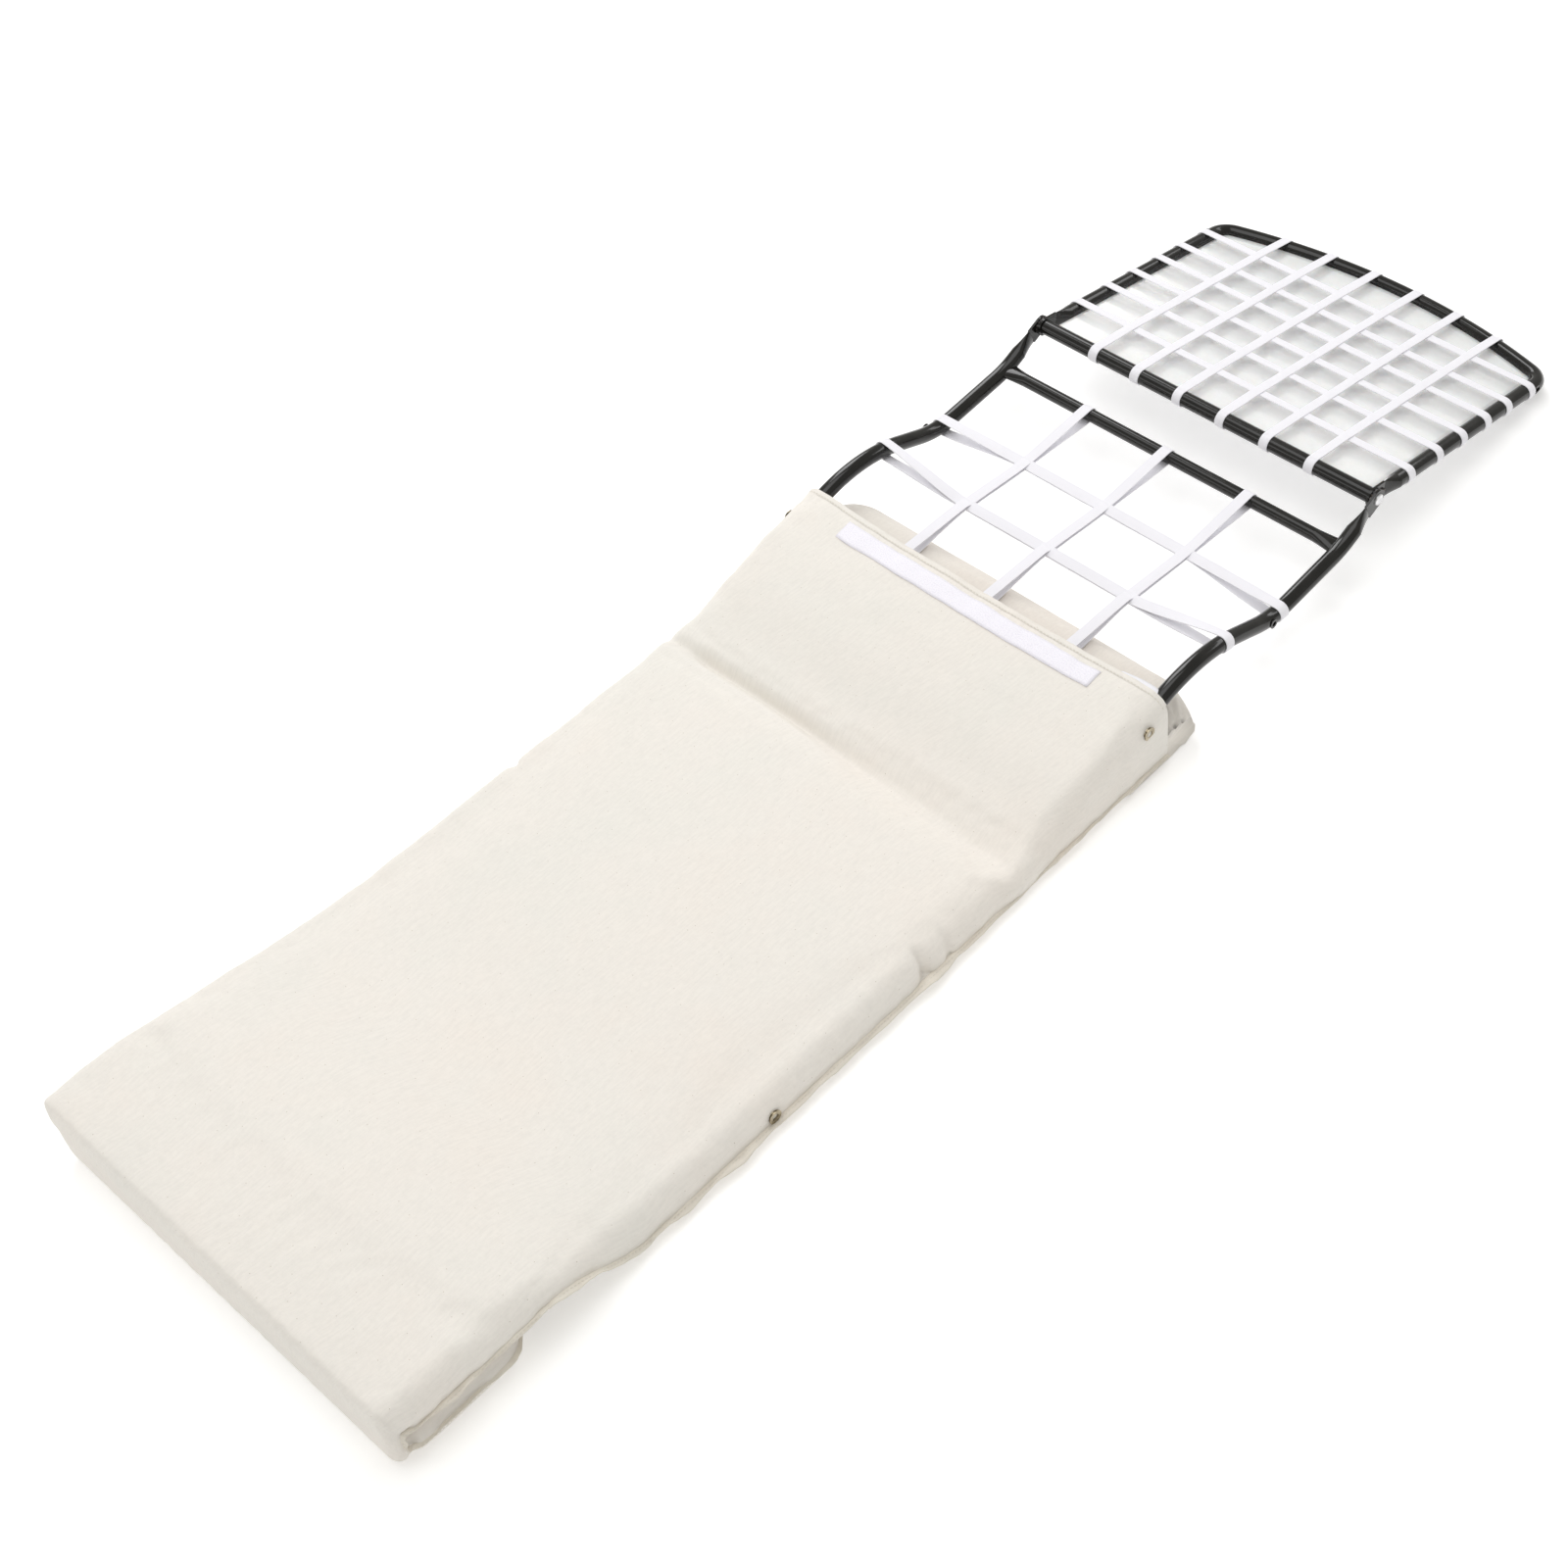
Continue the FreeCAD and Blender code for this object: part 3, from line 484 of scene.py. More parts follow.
def applyModifiers(piece):
    graph = bpy.context.evaluated_depsgraph_get()
    made = bpy.data.meshes.new_from_object(piece.evaluated_get(graph))
    piece.modifiers.clear()
    piece.data = made
    return piece


def faceOutward(piece):
    bpy.context.view_layer.objects.active = piece
    bpy.ops.object.select_all(action="DESELECT")
    piece.select_set(True)
    bpy.ops.object.mode_set(mode="EDIT")
    bpy.ops.mesh.select_all(action="SELECT")
    bpy.ops.mesh.normals_make_consistent(inside=False)
    bpy.ops.object.mode_set(mode="OBJECT")


def ease(value, low, high):
    t = min(1.0, max(0.0, (value - low) / (high - low)))
    return t * t * (3 - 2 * t)


def mix(a, b, t):
    return a + (b - a) * t


def wobble(x, y=0.0, z=0.0):
    return noise.noise(Vector((x, y, z)))


# the mat: one cloth shell from the folded foot end to the open edge of the back

matSet = {
    "seatLength": 0.850,
    "sheetLength": 0.238,
    "foldLength": 0.168,
    "layer": 0.0405,
    "footTop": 0.088,
    "slopeEnd": 0.330,
    "seatTop": 0.046,
    "seatSeam": 0.013,
    "shoulderRight": 0.023,
    "shoulderLeft": 0.015,
    "acrossCount": 52,
    "shoulderCount": 6,
    "sideCount": 4,
    "noseDepth": 0.019,
    "noseSquare": 5.5,
    "ringStep": 0.0092,
    "pressure": 3.6,
    "slack": -0.012,
    "capSwell": 0.0042,
    "creaseDepth": 0.018,
    "puckerDepth": 0.0019,
    "splitStation": 0.184,
    "pinches": (  # how far from the foot end, which side, how wide, how deep
        (0.700, 1, 0.0065, 0.0085),
        (0.735, 1, 0.005, 0.004),
        (0.610, -1, 0.007, 0.005),
        (0.020, 1, 0.005, 0.004),
    ),
}


def backTop(t):
    # the top sheet's height at a distance behind the crease
    low = mix(0.046, 0.0745, ease(t, 0.02, 0.125))
    return low + max(0.0, t - 0.095) * 0.182 * ease(t, 0.085, 0.16)


def seatTop(s):
    rise = ease(s, matSet["slopeEnd"] + 0.09, matSet["foldLength"] - 0.13)
    return mix(matSet["seatTop"], matSet["footTop"], rise)


def seatUnder(s):
    rise = ease(s, matSet["slopeEnd"] - 0.02, matSet["foldLength"] + 0.025)
    return mix(0.0, matSet["layer"] + 0.0015, rise)


def sheetEdge(x):
    # how far behind the crease the sewn top sheet ends: it sags back between the rails
    return 0.2375 - 0.004 * math.cos(x / halfWidth * math.pi / 2) + 0.003 * ease(-x, 0.15, 0.26)


def creaseDip(x, s):
    # a sharp fold near the left side that opens into a broad valley towards the right
    side = ease(x, -0.10, 0.16)
    halfSpan = mix(0.0085, 0.021, side)
    depth = mix(matSet["creaseDepth"], 0.0115, side)
    depth = min(depth, mix(depth, 0.0095, ease(abs(x), 0.205, 0.235)))
    bend = 0.004 * math.sin((x + 0.3) * 9.0)
    away = abs(s - matSet["seatLength"] - bend) / halfSpan
    return depth * math.exp(-away * away * 1.2)


def matRings():
    # each ring: seam point, the ring's up direction, its height above and below the seam, and its station
    rings = []
    layer = matSet["layer"]
    seamRise = 0.023
    tipStation = matSet["foldLength"]
    count = 14
    for i in range(count):  # the rounded tip of the folded layer
        turn = i / count
        s = tipStation - 0.011 + 0.011 * math.cos(turn * math.pi / 2)
        thick = layer * mix(0.25, 1.0, math.sin(turn * math.pi / 2))
        mid = layer * 0.5
        if i % 3 == 0:
            rings.append((Vector((0, footY + s, mid)), Vector((0, 0, -1)), thick * 0.5, thick * 0.5, -s))
    s = tipStation - 0.011
    while s > matSet["noseDepth"] + 0.004:
        seam = mix(layer * 0.5, seamRise, ease(s, tipStation, tipStation - 0.03))
        rings.append((Vector((0, footY + s, seam)), Vector((0, 0, -1)), seam, layer - 0.0008 - seam, -s))
        s -= matSet["ringStep"]
    # round the near end, the ring turning about the hinge line
    nose = matSet["noseDepth"]
    pivot = Vector((0, footY + nose, layer + 0.0005))
    turns = 26
    square = matSet["noseSquare"]
    for i in range(turns + 1):
        rise = math.sin(math.pi * (i / turns - 0.5))
        reach = layer if rise < 0 else matSet["footTop"] - layer
        y = -(nose - 0.001) * max(0.0, 1 - abs(rise) ** square) ** (1 / square)
        z = rise * (reach - 0.0005)
        out = Vector((0, y, z))
        outer = out.length
        out.normalize()
        inner = 0.0012
        seamAt = mix(outer, inner, 0.70)
        rings.append((pivot + out * seamAt, out, outer - seamAt, seamAt - inner, mix(-nose, nose, i / turns)))
    s = nose + matSet["ringStep"]
    seatEnd = matSet["seatLength"]
    lastStation = seatEnd + matSet["sheetLength"]
    while s < lastStation - 0.004:
        if s <= seatEnd:
            top, under = seatTop(s), seatUnder(s)
            seam = under + mix(0.011, matSet["seatSeam"], ease(s, 0.05, 0.35))
        else:
            top, under, seam = backTop(s - seatEnd), 0.0, matSet["seatSeam"]
        rings.append((Vector((0, footY + s, seam)), Vector((0, 0, 1)), top - seam, seam - under, s))
        s += mix(0.0036, matSet["ringStep"], ease(abs(s - seatEnd), 0.012, 0.055))
    s = lastStation
    seam = matSet["seatSeam"]
    top = backTop(matSet["sheetLength"])
    rings.append((Vector((0, footY + s, seam)), Vector((0, 0, 1)), top - seam, seam, s))
    return rings


def ringPoints(ring):
    # right seam, over the top, left seam, then back under
    above, below, station = ring[2:]
    flare = 0.0035 * math.exp(-((station - matSet["seatLength"]) / 0.028) ** 2)
    wide = halfWidth - 0.0008 - seamInset(station) + flare
    across = matSet["acrossCount"]

    def shoulderSide(radius):
        radius = min(radius, above * 0.82)
        run = above - radius
        points = [(wide, run * i / matSet["sideCount"]) for i in range(matSet["sideCount"])]
        for i in range(matSet["shoulderCount"]):
            a = math.pi / 2 * i / matSet["shoulderCount"]
            points.append((wide - radius + radius * math.cos(a), run + radius * math.sin(a)))
        return points, wide - radius

    right, flatRight = shoulderSide(matSet["shoulderRight"])
    left, flatLeft = shoulderSide(matSet["shoulderLeft"])
    top = right + [(mix(flatRight, -flatLeft, i / across), above) for i in range(across + 1)]
    top += [(-x, h) for x, h in reversed(left)]
    corner = min(0.010, below * 0.9)
    if station < 0.20:
        layered = (1 - ease(station, 0.15, 0.20)) * ease(abs(station), 0.012, 0.03)
        corner = mix(corner, min(0.019, below * 1.2), layered)
    under = []
    for i in range(1, 4):
        a = math.pi / 2 * i / 3
        under.append((-wide + corner * (1 - math.cos(a)) * 1.2, -below * math.sin(a)))
    flatUnder = wide - corner * 1.2
    bottom = under + [(mix(-flatUnder, flatUnder, i / across), -below) for i in range(1, across)]
    bottom += [(-x, h) for x, h in reversed(under)]
    return top, bottom


def seamInset(station):
    # the mat is a little narrower at its foot end, and the folded layer's free corners are rounded
    s = abs(station)
    inset = 0.0
    if s < 0.05:
        inset += 0.003 * (1 - ease(s, 0.0, 0.05))
    if station < 0:
        inset += 0.024 * ease(s, 0.128, 0.170) ** 2
    return inset


def tuckedIn(station, x):
    # at the left the folded layer sits a little inside the layer above it
    return 0.0115 * ease(-x, 0.12, 0.24) * (1 - ease(station, 0.0026, 0.0044))


def placeOnRing(ring, x, h):
    seam, up = ring[0], ring[1]
    return seam + up * h + Vector((x, 0, 0))


rings = matRings()
topCount = 2 * (matSet["sideCount"] + matSet["shoulderCount"]) + matSet["acrossCount"] + 1


def buildMat(name, first, last, finish):
    points, cloth, faces, pinned = [], [], [], {}
    total = 0
    along = 0.0
    for r in range(first, last + 1):
        ring = rings[r]
        if r > first:
            middle = ring[0] + ring[1] * ring[2]
            before = rings[r - 1][0] + rings[r - 1][1] * rings[r - 1][2]
            along += (middle - before).length
        top, bottom = ringPoints(ring)
        walked = 0.0
        previous = None
        for k, (x, h) in enumerate(top + bottom):
            if previous:
                walked += math.hypot(x - previous[0], h - previous[1])
            previous = (x, h)
            spot = placeOnRing(ring, x, h)
            spot.x += tuckedIn(ring[4], x)
            isTop = k < topCount
            if isTop and ring[4] > 0.95:
                past = sheetEdge(x) - matSet["sheetLength"]
                reach = past * ease(ring[4], 0.95, 1.088) * ease(h, 0.02, ring[2])
                spot.y += reach
            if isTop and ring[4] > 0.75:
                inner = 1 - 0.35 * ease(abs(x), halfWidth - 0.03, halfWidth)
                spot.z -= creaseDip(x, ring[4]) * inner * min(1.0, h / max(ring[2], 1e-6))
            points.append(spot)
            cloth.append((walked, along))
            seam = min(abs(k), abs(k - (topCount - 1)))
            if not isTop or seam == 0:
                hold = 1.0
            else:
                hold = 0.75 - 0.75 * ease(seam, 0, 3)
            if ring[4] > 0.75 and isTop:
                hold = max(hold, 0.92 * math.exp(-((ring[4] - matSet["seatLength"]) / 0.026) ** 2))
            if ring[4] < 0.20:
                hold = max(hold, 0.5 * (1 - ease(ring[4], 0.02, 0.20)))
            if r == last:
                hold = max(hold, 0.85)
            pinned[total] = hold
            total += 1
    per = len(top) + len(bottom)
    for r in range(last - first):
        for k in range(per):
            a = r * per + k
            b = r * per + (k + 1) % per
            faces.append((a, a + per, b + per, b))
    faces.append(tuple(range(per)))
    piece = meshPiece(name, points, faces, finish, cloth)
    stations = piece.data.attributes.new("station", "FLOAT", "POINT")
    for r in range(first, last + 1):
        for k in range(per):
            stations.data[(r - first) * per + k].value = rings[r][4]
    return piece, pinned


def puff(piece, pinned, pressure, slack, cap, keepIn=0.0006, frames=20):
    # swell the cloth with air, keep each point within the cap, and apply it
    rest = [v.co.copy() for v in piece.data.vertices]
    outward = [v.normal.copy() for v in piece.data.vertices]
    group = piece.vertex_groups.new(name="hold")
    for index, weight in pinned.items():
        group.add([index], weight, "REPLACE")
    cloth = piece.modifiers.new("swell", "CLOTH")
    settings = cloth.settings
    settings.quality = 5
    settings.mass = 0.25
    settings.tension_stiffness = 18
    settings.compression_stiffness = 18
    settings.shear_stiffness = 8
    settings.bending_stiffness = 0.6
    settings.effector_weights.gravity = 0
    settings.use_pressure = True
    settings.uniform_pressure_force = pressure
    settings.shrink_min = slack
    settings.vertex_group_mass = "hold"
    cloth.collision_settings.use_collision = False
    cloth.collision_settings.use_self_collision = False
    scene = bpy.context.scene
    for f in range(1, frames + 1):
        scene.frame_set(f)
    graph = bpy.context.evaluated_depsgraph_get()
    moved = [v.co.copy() for v in piece.evaluated_get(graph).data.vertices]
    piece.modifiers.remove(cloth)
    piece.vertex_groups.remove(group)
    for vertex, before, after, normal in zip(piece.data.vertices, rest, moved, outward):
        step = after - before
        inward = step.dot(normal)
        if inward < -keepIn:
            step -= normal * (inward + keepIn)
        if step.length > cap:
            step = step.normalized() * (cap * (1 - 0.15 * math.exp(-(step.length - cap) * 60)))
        vertex.co = before + step
        vertex.co.z = max(vertex.co.z, 0.0006)
    scene.frame_set(1)


def pucker(piece, depth):
    # small gathers that run in from the side seams, and fine ripples over the top
    for vertex in piece.data.vertices:
        p = vertex.co
        fromSide = halfWidth - abs(p.x)
        if p.z > 0.014 and fromSide < 0.06:
            fade = 1 - ease(fromSide, 0.0, 0.055)
            side = 3.0 if p.x > 0 else 11.0
            gather = wobble(p.y * 38, side, p.z * 8) + 0.5 * wobble(p.y * 85, side, p.z * 14)
            vertex.co.z += depth * gather * fade * ease(p.z, 0.014, 0.03)
            inward = max(0.0, gather) * (1 - ease(fromSide, 0.0, 0.03))
            vertex.co.x += math.copysign(depth * 0.8, -p.x) * inward
        for station, side, wide, deep in matSet["pinches"]:
            away = (p.y - footY - station) / wide
            if side * p.x > 0 and abs(away) < 3 and 0.003 < p.z < 0.06:
                nearSeam = (1 - ease(fromSide, 0.002, 0.030)) * ease(p.z, 0.003, 0.010)
                pull = math.exp(-away * away) * nearSeam
                vertex.co.x -= side * deep * pull
                vertex.co.z -= 0.35 * deep * pull * ease(p.z, 0.02, 0.04)
        if p.x < 0 and fromSide < 0.02 and p.z > 0.01:
            vertex.co.x += 0.0016 * wobble(p.y * 16, 21.0, p.z * 5) + 0.0008 * wobble(p.y * 45, 22.0)
        if p.z > 0.035:
            t = p.y - creaseY
            fine = wobble(p.x * 22 + p.y * 9, p.y * 26 - p.x * 6, 4.0)
            nearEdge = ease(t, 0.10, 0.24) * (1 - ease(p.x, -0.05, 0.10))
            broad = wobble(p.x * 5.0, p.y * 4.0, 9.0)
            vertex.co.z += 0.0011 * broad + fine * (0.00035 + 0.0016 * nearEdge)


def subdivide(piece, levels=1):
    change = piece.modifiers.new("smooth", "SUBSURF")
    change.levels = levels
    change.render_levels = levels
    change.uv_smooth = "PRESERVE_BOUNDARIES"
    applyModifiers(piece)


def splitMat(piece, station):
    # the foot end leaves the long mat along one ring of the weave
    front = piece.copy()
    front.data = piece.data.copy()
    front.name = "footMat"
    bpy.context.scene.collection.objects.link(front)
    for part, keepLow in ((front, True), (piece, False)):
        mesh = bmesh.new()
        mesh.from_mesh(part.data)
        layer = mesh.verts.layers.float["station"]
        drop = []
        for face in mesh.faces:
            middle = sum(v[layer] for v in face.verts) / len(face.verts)
            if (middle > station) == keepLow:
                drop.append(face)
        bmesh.ops.delete(mesh, geom=drop, context="FACES")
        mesh.to_mesh(part.data)
        mesh.free()
    return front


splitRing = min(range(len(rings)), key=lambda i: abs(rings[i][4] - matSet["splitStation"]))
lastRing = len(rings) - 1
mainMat, mainPins = buildMat("loungerMat", 0, lastRing, canvas)
puff(mainMat, mainPins, matSet["pressure"], matSet["slack"], matSet["capSwell"])
subdivide(mainMat)
pucker(mainMat, matSet["puckerDepth"])
footMat = splitMat(mainMat, rings[splitRing][4])
print("mat swelled", len(footMat.data.vertices) + len(mainMat.data.vertices), "points")


# seam flanges and their stitches

flangeSet = {
    "reach": 0.0108,
    "thick": 0.0016,
    "wave": 0.0040,
    "stitch": 0.0030,
    "gap": 0.0016,
    "thread": 0.00045,
    "stitchInset": 0.0048,
}


def seamLine(first, last, side):
    line = []
    for r in range(first, last + 1):
        seam, up, station = rings[r][0], rings[r][1], rings[r][4]
        x = side * (halfWidth - 0.003 - seamInset(station)) + tuckedIn(station, side * halfWidth)
        line.append((seam + Vector((x, 0, 0)), up, station))
    fine = []
    for (a, upA, sA), (b, upB, sB) in zip(line, line[1:]):
        for i in range(4):
            t = i / 4
            fine.append((a.lerp(b, t), upA.lerp(upB, t).normalized(), mix(sA, sB, t)))
    fine.append(line[-1])
    return fine


def makeFlange(name, first, last, side):
    line = seamLine(first, last, side)
    points, faces, cloth = [], [], []
    along = 0.0
    seed = 5.0 if side > 0 else 17.0
    columns = 5
    for i, (place, up, station) in enumerate(line):
        if i:
            along += (place - line[i - 1][0]).length
        swell = 0.6 + 0.4 * ease(abs(station - 0.5), 0.5, 0.1)
        reach = flangeSet["reach"] * (0.85 + 0.45 * wobble(along * 18, seed)) * swell
        ring = []
        for face in (1, -1):
            order = range(columns + 1) if face > 0 else range(columns, -1, -1)
            for k in order:
                t = k / columns
                ripple = wobble(along * 30, seed, t * 0.8) + 0.5 * wobble(along * 70, seed)
                wave = flangeSet["wave"] * ripple * t
                out = Vector((side * reach * t, 0, 0))
                ring.append(place + out + up * (wave + face * flangeSet["thick"] / 2 * (1 - 0.4 * t)))
        for p in ring:
            p.z = max(p.z, 0.0007)
        points += ring
        cloth += [(k * 0.002, along) for k in range(len(ring))]
    per = 2 * (columns + 1)
    for r in range(len(line) - 1):
        for k in range(per):
            a, b = r * per + k, r * per + (k + 1) % per
            faces.append((a, b, b + per, a + per) if side < 0 else (a + per, b + per, b, a))
    # the flange cloth is the canvas with painted shade, darker and yellower than the cover
    piece = meshPiece(name, points, faces, flangeCanvasPaintedShade, cloth)
    return piece, line


def stitchRow(name, spots, ups, outs, lift):
    # short rounded threads laid end to end along a line of spots
    points, faces = [], []
    step, gap, radius = flangeSet["stitch"], flangeSet["gap"], flangeSet["thread"]
    travelled, nextStart = 0.0, 0.0
    for i in range(len(spots) - 1):
        span = spots[i + 1] - spots[i]
        length = span.length
        if length < 1e-6:
            continue
        ahead = span / length
        while nextStart < travelled + length:
            base = spots[i] + ahead * (nextStart - travelled) + ups[i] * lift
            side = outs[i]
            up = ups[i]
            start = len(points)
            for j, (f, w) in enumerate(((0.0, 0.35), (0.25, 1.0), (0.75, 1.0), (1.0, 0.35))):
                centre = base + ahead * (step * f)
                for a in range(6):
                    turn = a * math.pi / 3
                    reach = side * (math.cos(turn) * radius * w) + up * (math.sin(turn) * radius * w)
                    points.append(centre + reach)
                if j:
                    for a in range(6):
                        p, q = start + (j - 1) * 6 + a, start + (j - 1) * 6 + (a + 1) % 6
                        faces.append((p, q, q + 6, p + 6))
            faces.append(tuple(start + a for a in range(5, -1, -1)))
            faces.append(tuple(start + 18 + a for a in range(6)))
            nextStart += step + gap
        travelled += length
    return meshPiece(name, points, faces, threadFinish)


def joinPieces(base, others):
    bpy.ops.object.select_all(action="DESELECT")
    for piece in others:
        piece.select_set(True)
    base.select_set(True)
    bpy.context.view_layer.objects.active = base
    bpy.ops.object.join()
    return base


for mat, first, last in ((footMat, 0, splitRing), (mainMat, splitRing, lastRing)):
    extras = []
    for label, side in (("Right", 1), ("Left", -1)):
        flange, line = makeFlange(mat.name + "Flange" + label, first, last, side)
        extras.append(flange)
        spots = [place + Vector((side * flangeSet["stitchInset"], 0, 0)) for place, up, station in line]
        ups = [up for place, up, station in line]
        outs = [Vector((side, 0, 0))] * len(line)
        extras.append(stitchRow(mat.name + "Stitch" + label, spots, ups, outs, flangeSet["thick"] * 0.55))
    joinPieces(mat, extras)
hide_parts("foot_cover", "foot_foam")
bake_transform(footMat, "seat", "foot_fold", start=(0, footY, 0.0417), end=(0, footY, 0.0400))
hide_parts("seat_cover", "back_cover", "seat_foam", "seat_base_pad", "back_foam")
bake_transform(mainMat, "seat", "back", start=(0, creaseY - 0.045, 0.03), end=(0, creaseY + 0.045, 0.03))
print("seams sewn")


# the lower pad, seen beyond the open edge

padSet = {
    "start": 0.150,
    "end": 0.306,
    "top": 0.0625,
    "noseRound": 0.040,
    "seamHeight": 0.012,
    "swell": 0.0045,
    "ringStep": 0.0108,
    "pressure": 3.0,
    "slack": -0.02,
}


def makeLowerPad():
    points, cloth, faces, pins = [], [], [], {}
    across = 56
    tip = padSet["end"]
    profile = []
    stations = [padSet["start"] + i * padSet["ringStep"] for i in range(11)]
    for t in stations:
        profile.append((t, padSet["top"] - 0.012 * (1 - ease(t, 0.15, 0.25))))
    bend, low, rise = padSet["noseRound"], padSet["seamHeight"], padSet["top"]
    for i in range(1, 12):
        a = math.pi / 2 * i / 12
        profile.append((tip - bend + bend * math.sin(a) ** 0.9, low + (rise - low) * math.cos(a) ** 0.75))
    for i in range(4):
        profile.append((tip - 0.001 - i * 0.009, low - 0.0035 * min(i + 1, 3)))
    profile += [(tip - 0.05 - i * 0.02, 0.0012) for i in range(5)]
    walked = 0.0
    for r, (t, z) in enumerate(profile):
        if r:
            walked += math.hypot(t - profile[r - 1][0], z - profile[r - 1][1])
        for k in range(across + 1):
            u = mix(-1, 1, k / across)
            x = u * (halfWidth - 0.002)
            corner = ease(abs(x), halfWidth - 0.050, halfWidth)
            back = t - corner * (0.030 if x < 0 else 0.018) * ease(t, 0.2, tip)
            z2 = z * (1 - 0.32 * ease(abs(x), halfWidth - 0.030, halfWidth) ** 2)
            points.append(Vector((x, creaseY + back, max(0.0008, z2))))
            cloth.append((x, walked))
            edge = min(k, across - k)
            pins[len(points) - 1] = 1.0 if r in (0, len(profile) - 1) else (0.7 if edge == 0 else 0.0)
    per = across + 1
    for r in range(len(profile) - 1):
        for k in range(across):
            a = r * per + k
            faces.append((a, a + 1, a + 1 + per, a + per))
    # close the two sides
    for k in (0, across):
        ring = [r * per + k for r in range(len(profile))]
        faces.append(tuple(ring if k else reversed(ring)))
    piece = meshPiece("lowerPad", points, faces, liningCanvas, cloth)
    puff(piece, pins, padSet["pressure"], padSet["slack"], padSet["swell"])
    subdivide(piece)
    for vertex in piece.data.vertices:
        p = vertex.co
        fromSide = halfWidth - abs(p.x)
        t = p.y - creaseY
        if p.z > 0.006:
            fade = (1 - ease(fromSide, 0.0, 0.05)) * ease(t, 0.20, 0.24)
            angle = math.atan2(p.z - 0.03, t - 0.24)
            gather = math.sin(angle * 15 + 3 * wobble(p.y * 20, p.z * 20, p.x * 8))
            vertex.co.z += 0.0026 * gather * fade
            vertex.co.y += 0.0007 * gather * fade
            vertex.co.z += 0.0012 * wobble(p.x * 14, p.y * 20, 2.0)
    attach(piece, "back")
    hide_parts("back_base_pad")
    return piece


makeLowerPad()


# hem, hook tape and the loop of tape at the corner

hemSet = {
    "width": 0.0075,
    "thick": 0.0018,
    "tapeLength": 0.370,
    "tapeWidth": 0.025,
    "tapeThick": 0.0012,
    "setback": 0.012,
    "cornerStart": 0.198,
    "cornerWidth": 0.012,
    "cornerThick": 0.0011,
}


def topSheetHeight(x, t):
    # height of the sewn sheet near its free edge
    base = backTop(t)
    shoulder = matSet["shoulderRight"] if x > 0 else matSet["shoulderLeft"]
    wide = halfWidth - 0.0008
    over = abs(x) - (wide - shoulder)
    if over > 0:
        base -= shoulder - math.sqrt(max(0.0, shoulder ** 2 - min(over, shoulder) ** 2))
    return base


def surfaceAbove(piece, x, y, fallback):
    hit, place = piece.ray_cast(Vector((x, y, 0.3)), Vector((0, 0, -1)))[:2]
    return place.z if hit and place.z > fallback - 0.02 else fallback


def makeStrip(name, body, spots, widthDirections, ups, width, thick, finish, edgeWave=0.0):
    points, faces, cloth = [], [], []
    along = 0.0
    columns = 6
    for i, (spot, wide, up) in enumerate(zip(spots, widthDirections, ups)):
        if i:
            along += (spot - spots[i - 1]).length
        half = width / 2
        left = half + edgeWave * wobble(along * 26, 1.0)
        right = half + edgeWave * wobble(along * 22, 7.0)
        ring = []
        for face in (1, -1):
            order = range(columns + 1) if face > 0 else range(columns, -1, -1)
            for k in order:
                t = mix(-left, right, k / columns)
                crown = 1 - (2 * k / columns - 1) ** 4
                ring.append(spot + wide * t + up * (face * thick / 2 * (0.35 + 0.65 * crown)))
                cloth.append((t, along))
        points += ring
    per = 2 * (columns + 1)
    for r in range(len(spots) - 1):
        for k in range(per):
            a, b = r * per + k, r * per + (k + 1) % per
            faces.append((a, b, b + per, a + per))
    faces.append(tuple(range(per - 1, -1, -1)))
    end = (len(spots) - 1) * per
    faces.append(tuple(end + k for k in range(per)))
    piece = meshPiece(name, points, faces, finish, cloth)
    faceOutward(piece)
    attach(piece, body)
    return piece


def makeHem():
    spots, wides, ups = [], [], []
    count = 110
    for i in range(count + 1):
        x = mix(-halfWidth + 0.004, halfWidth - 0.004, i / count)
        y = creaseY + sheetEdge(x) - hemSet["width"] / 2 + 0.0015
        z = surfaceAbove(mainMat, x, y - 0.004, topSheetHeight(x, 0.25)) + 0.0004
        spots.append(Vector((x, y, z)))
        wides.append(Vector((0, 1, 0.18)).normalized())
        ups.append(Vector((0, -0.18, 1)).normalized())
    hem = makeStrip("coverHem", "back", spots, wides, ups, hemSet["width"], hemSet["thick"], canvas, 0.0006)
    row = [s + Vector((0, -0.0022, -0.0004)) for s in spots]
    stitches = stitchRow("hemStitches", row, ups, wides, hemSet["thick"] * 0.5 + 0.0002)
    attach(stitches, "back")
    return hem


def makeHookTape():
    spots, wides, ups = [], [], []
    count = 90
    for i in range(count + 1):
        x = mix(-hemSet["tapeLength"] / 2, hemSet["tapeLength"] / 2, i / count)
        y = creaseY + sheetEdge(x) - hemSet["setback"] - hemSet["tapeWidth"] / 2
        near = surfaceAbove(mainMat, x, y - 0.010, backTop(0.22))
        far = surfaceAbove(mainMat, x, y + 0.010, backTop(0.24))
        wide = Vector((0, 0.020, far - near)).normalized()
        up = Vector((1, 0, 0)).cross(wide)
        spots.append(Vector((x, y, (near + far) / 2 + hemSet["tapeThick"] * 0.55)))
        wides.append(wide)
        ups.append(up)
    wide, thick = hemSet["tapeWidth"], hemSet["tapeThick"]
    tape = makeStrip("hookTape", "back", spots, wides, ups, wide, thick, hookFinish, 0.0016)
    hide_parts("hook_strip")
    return tape


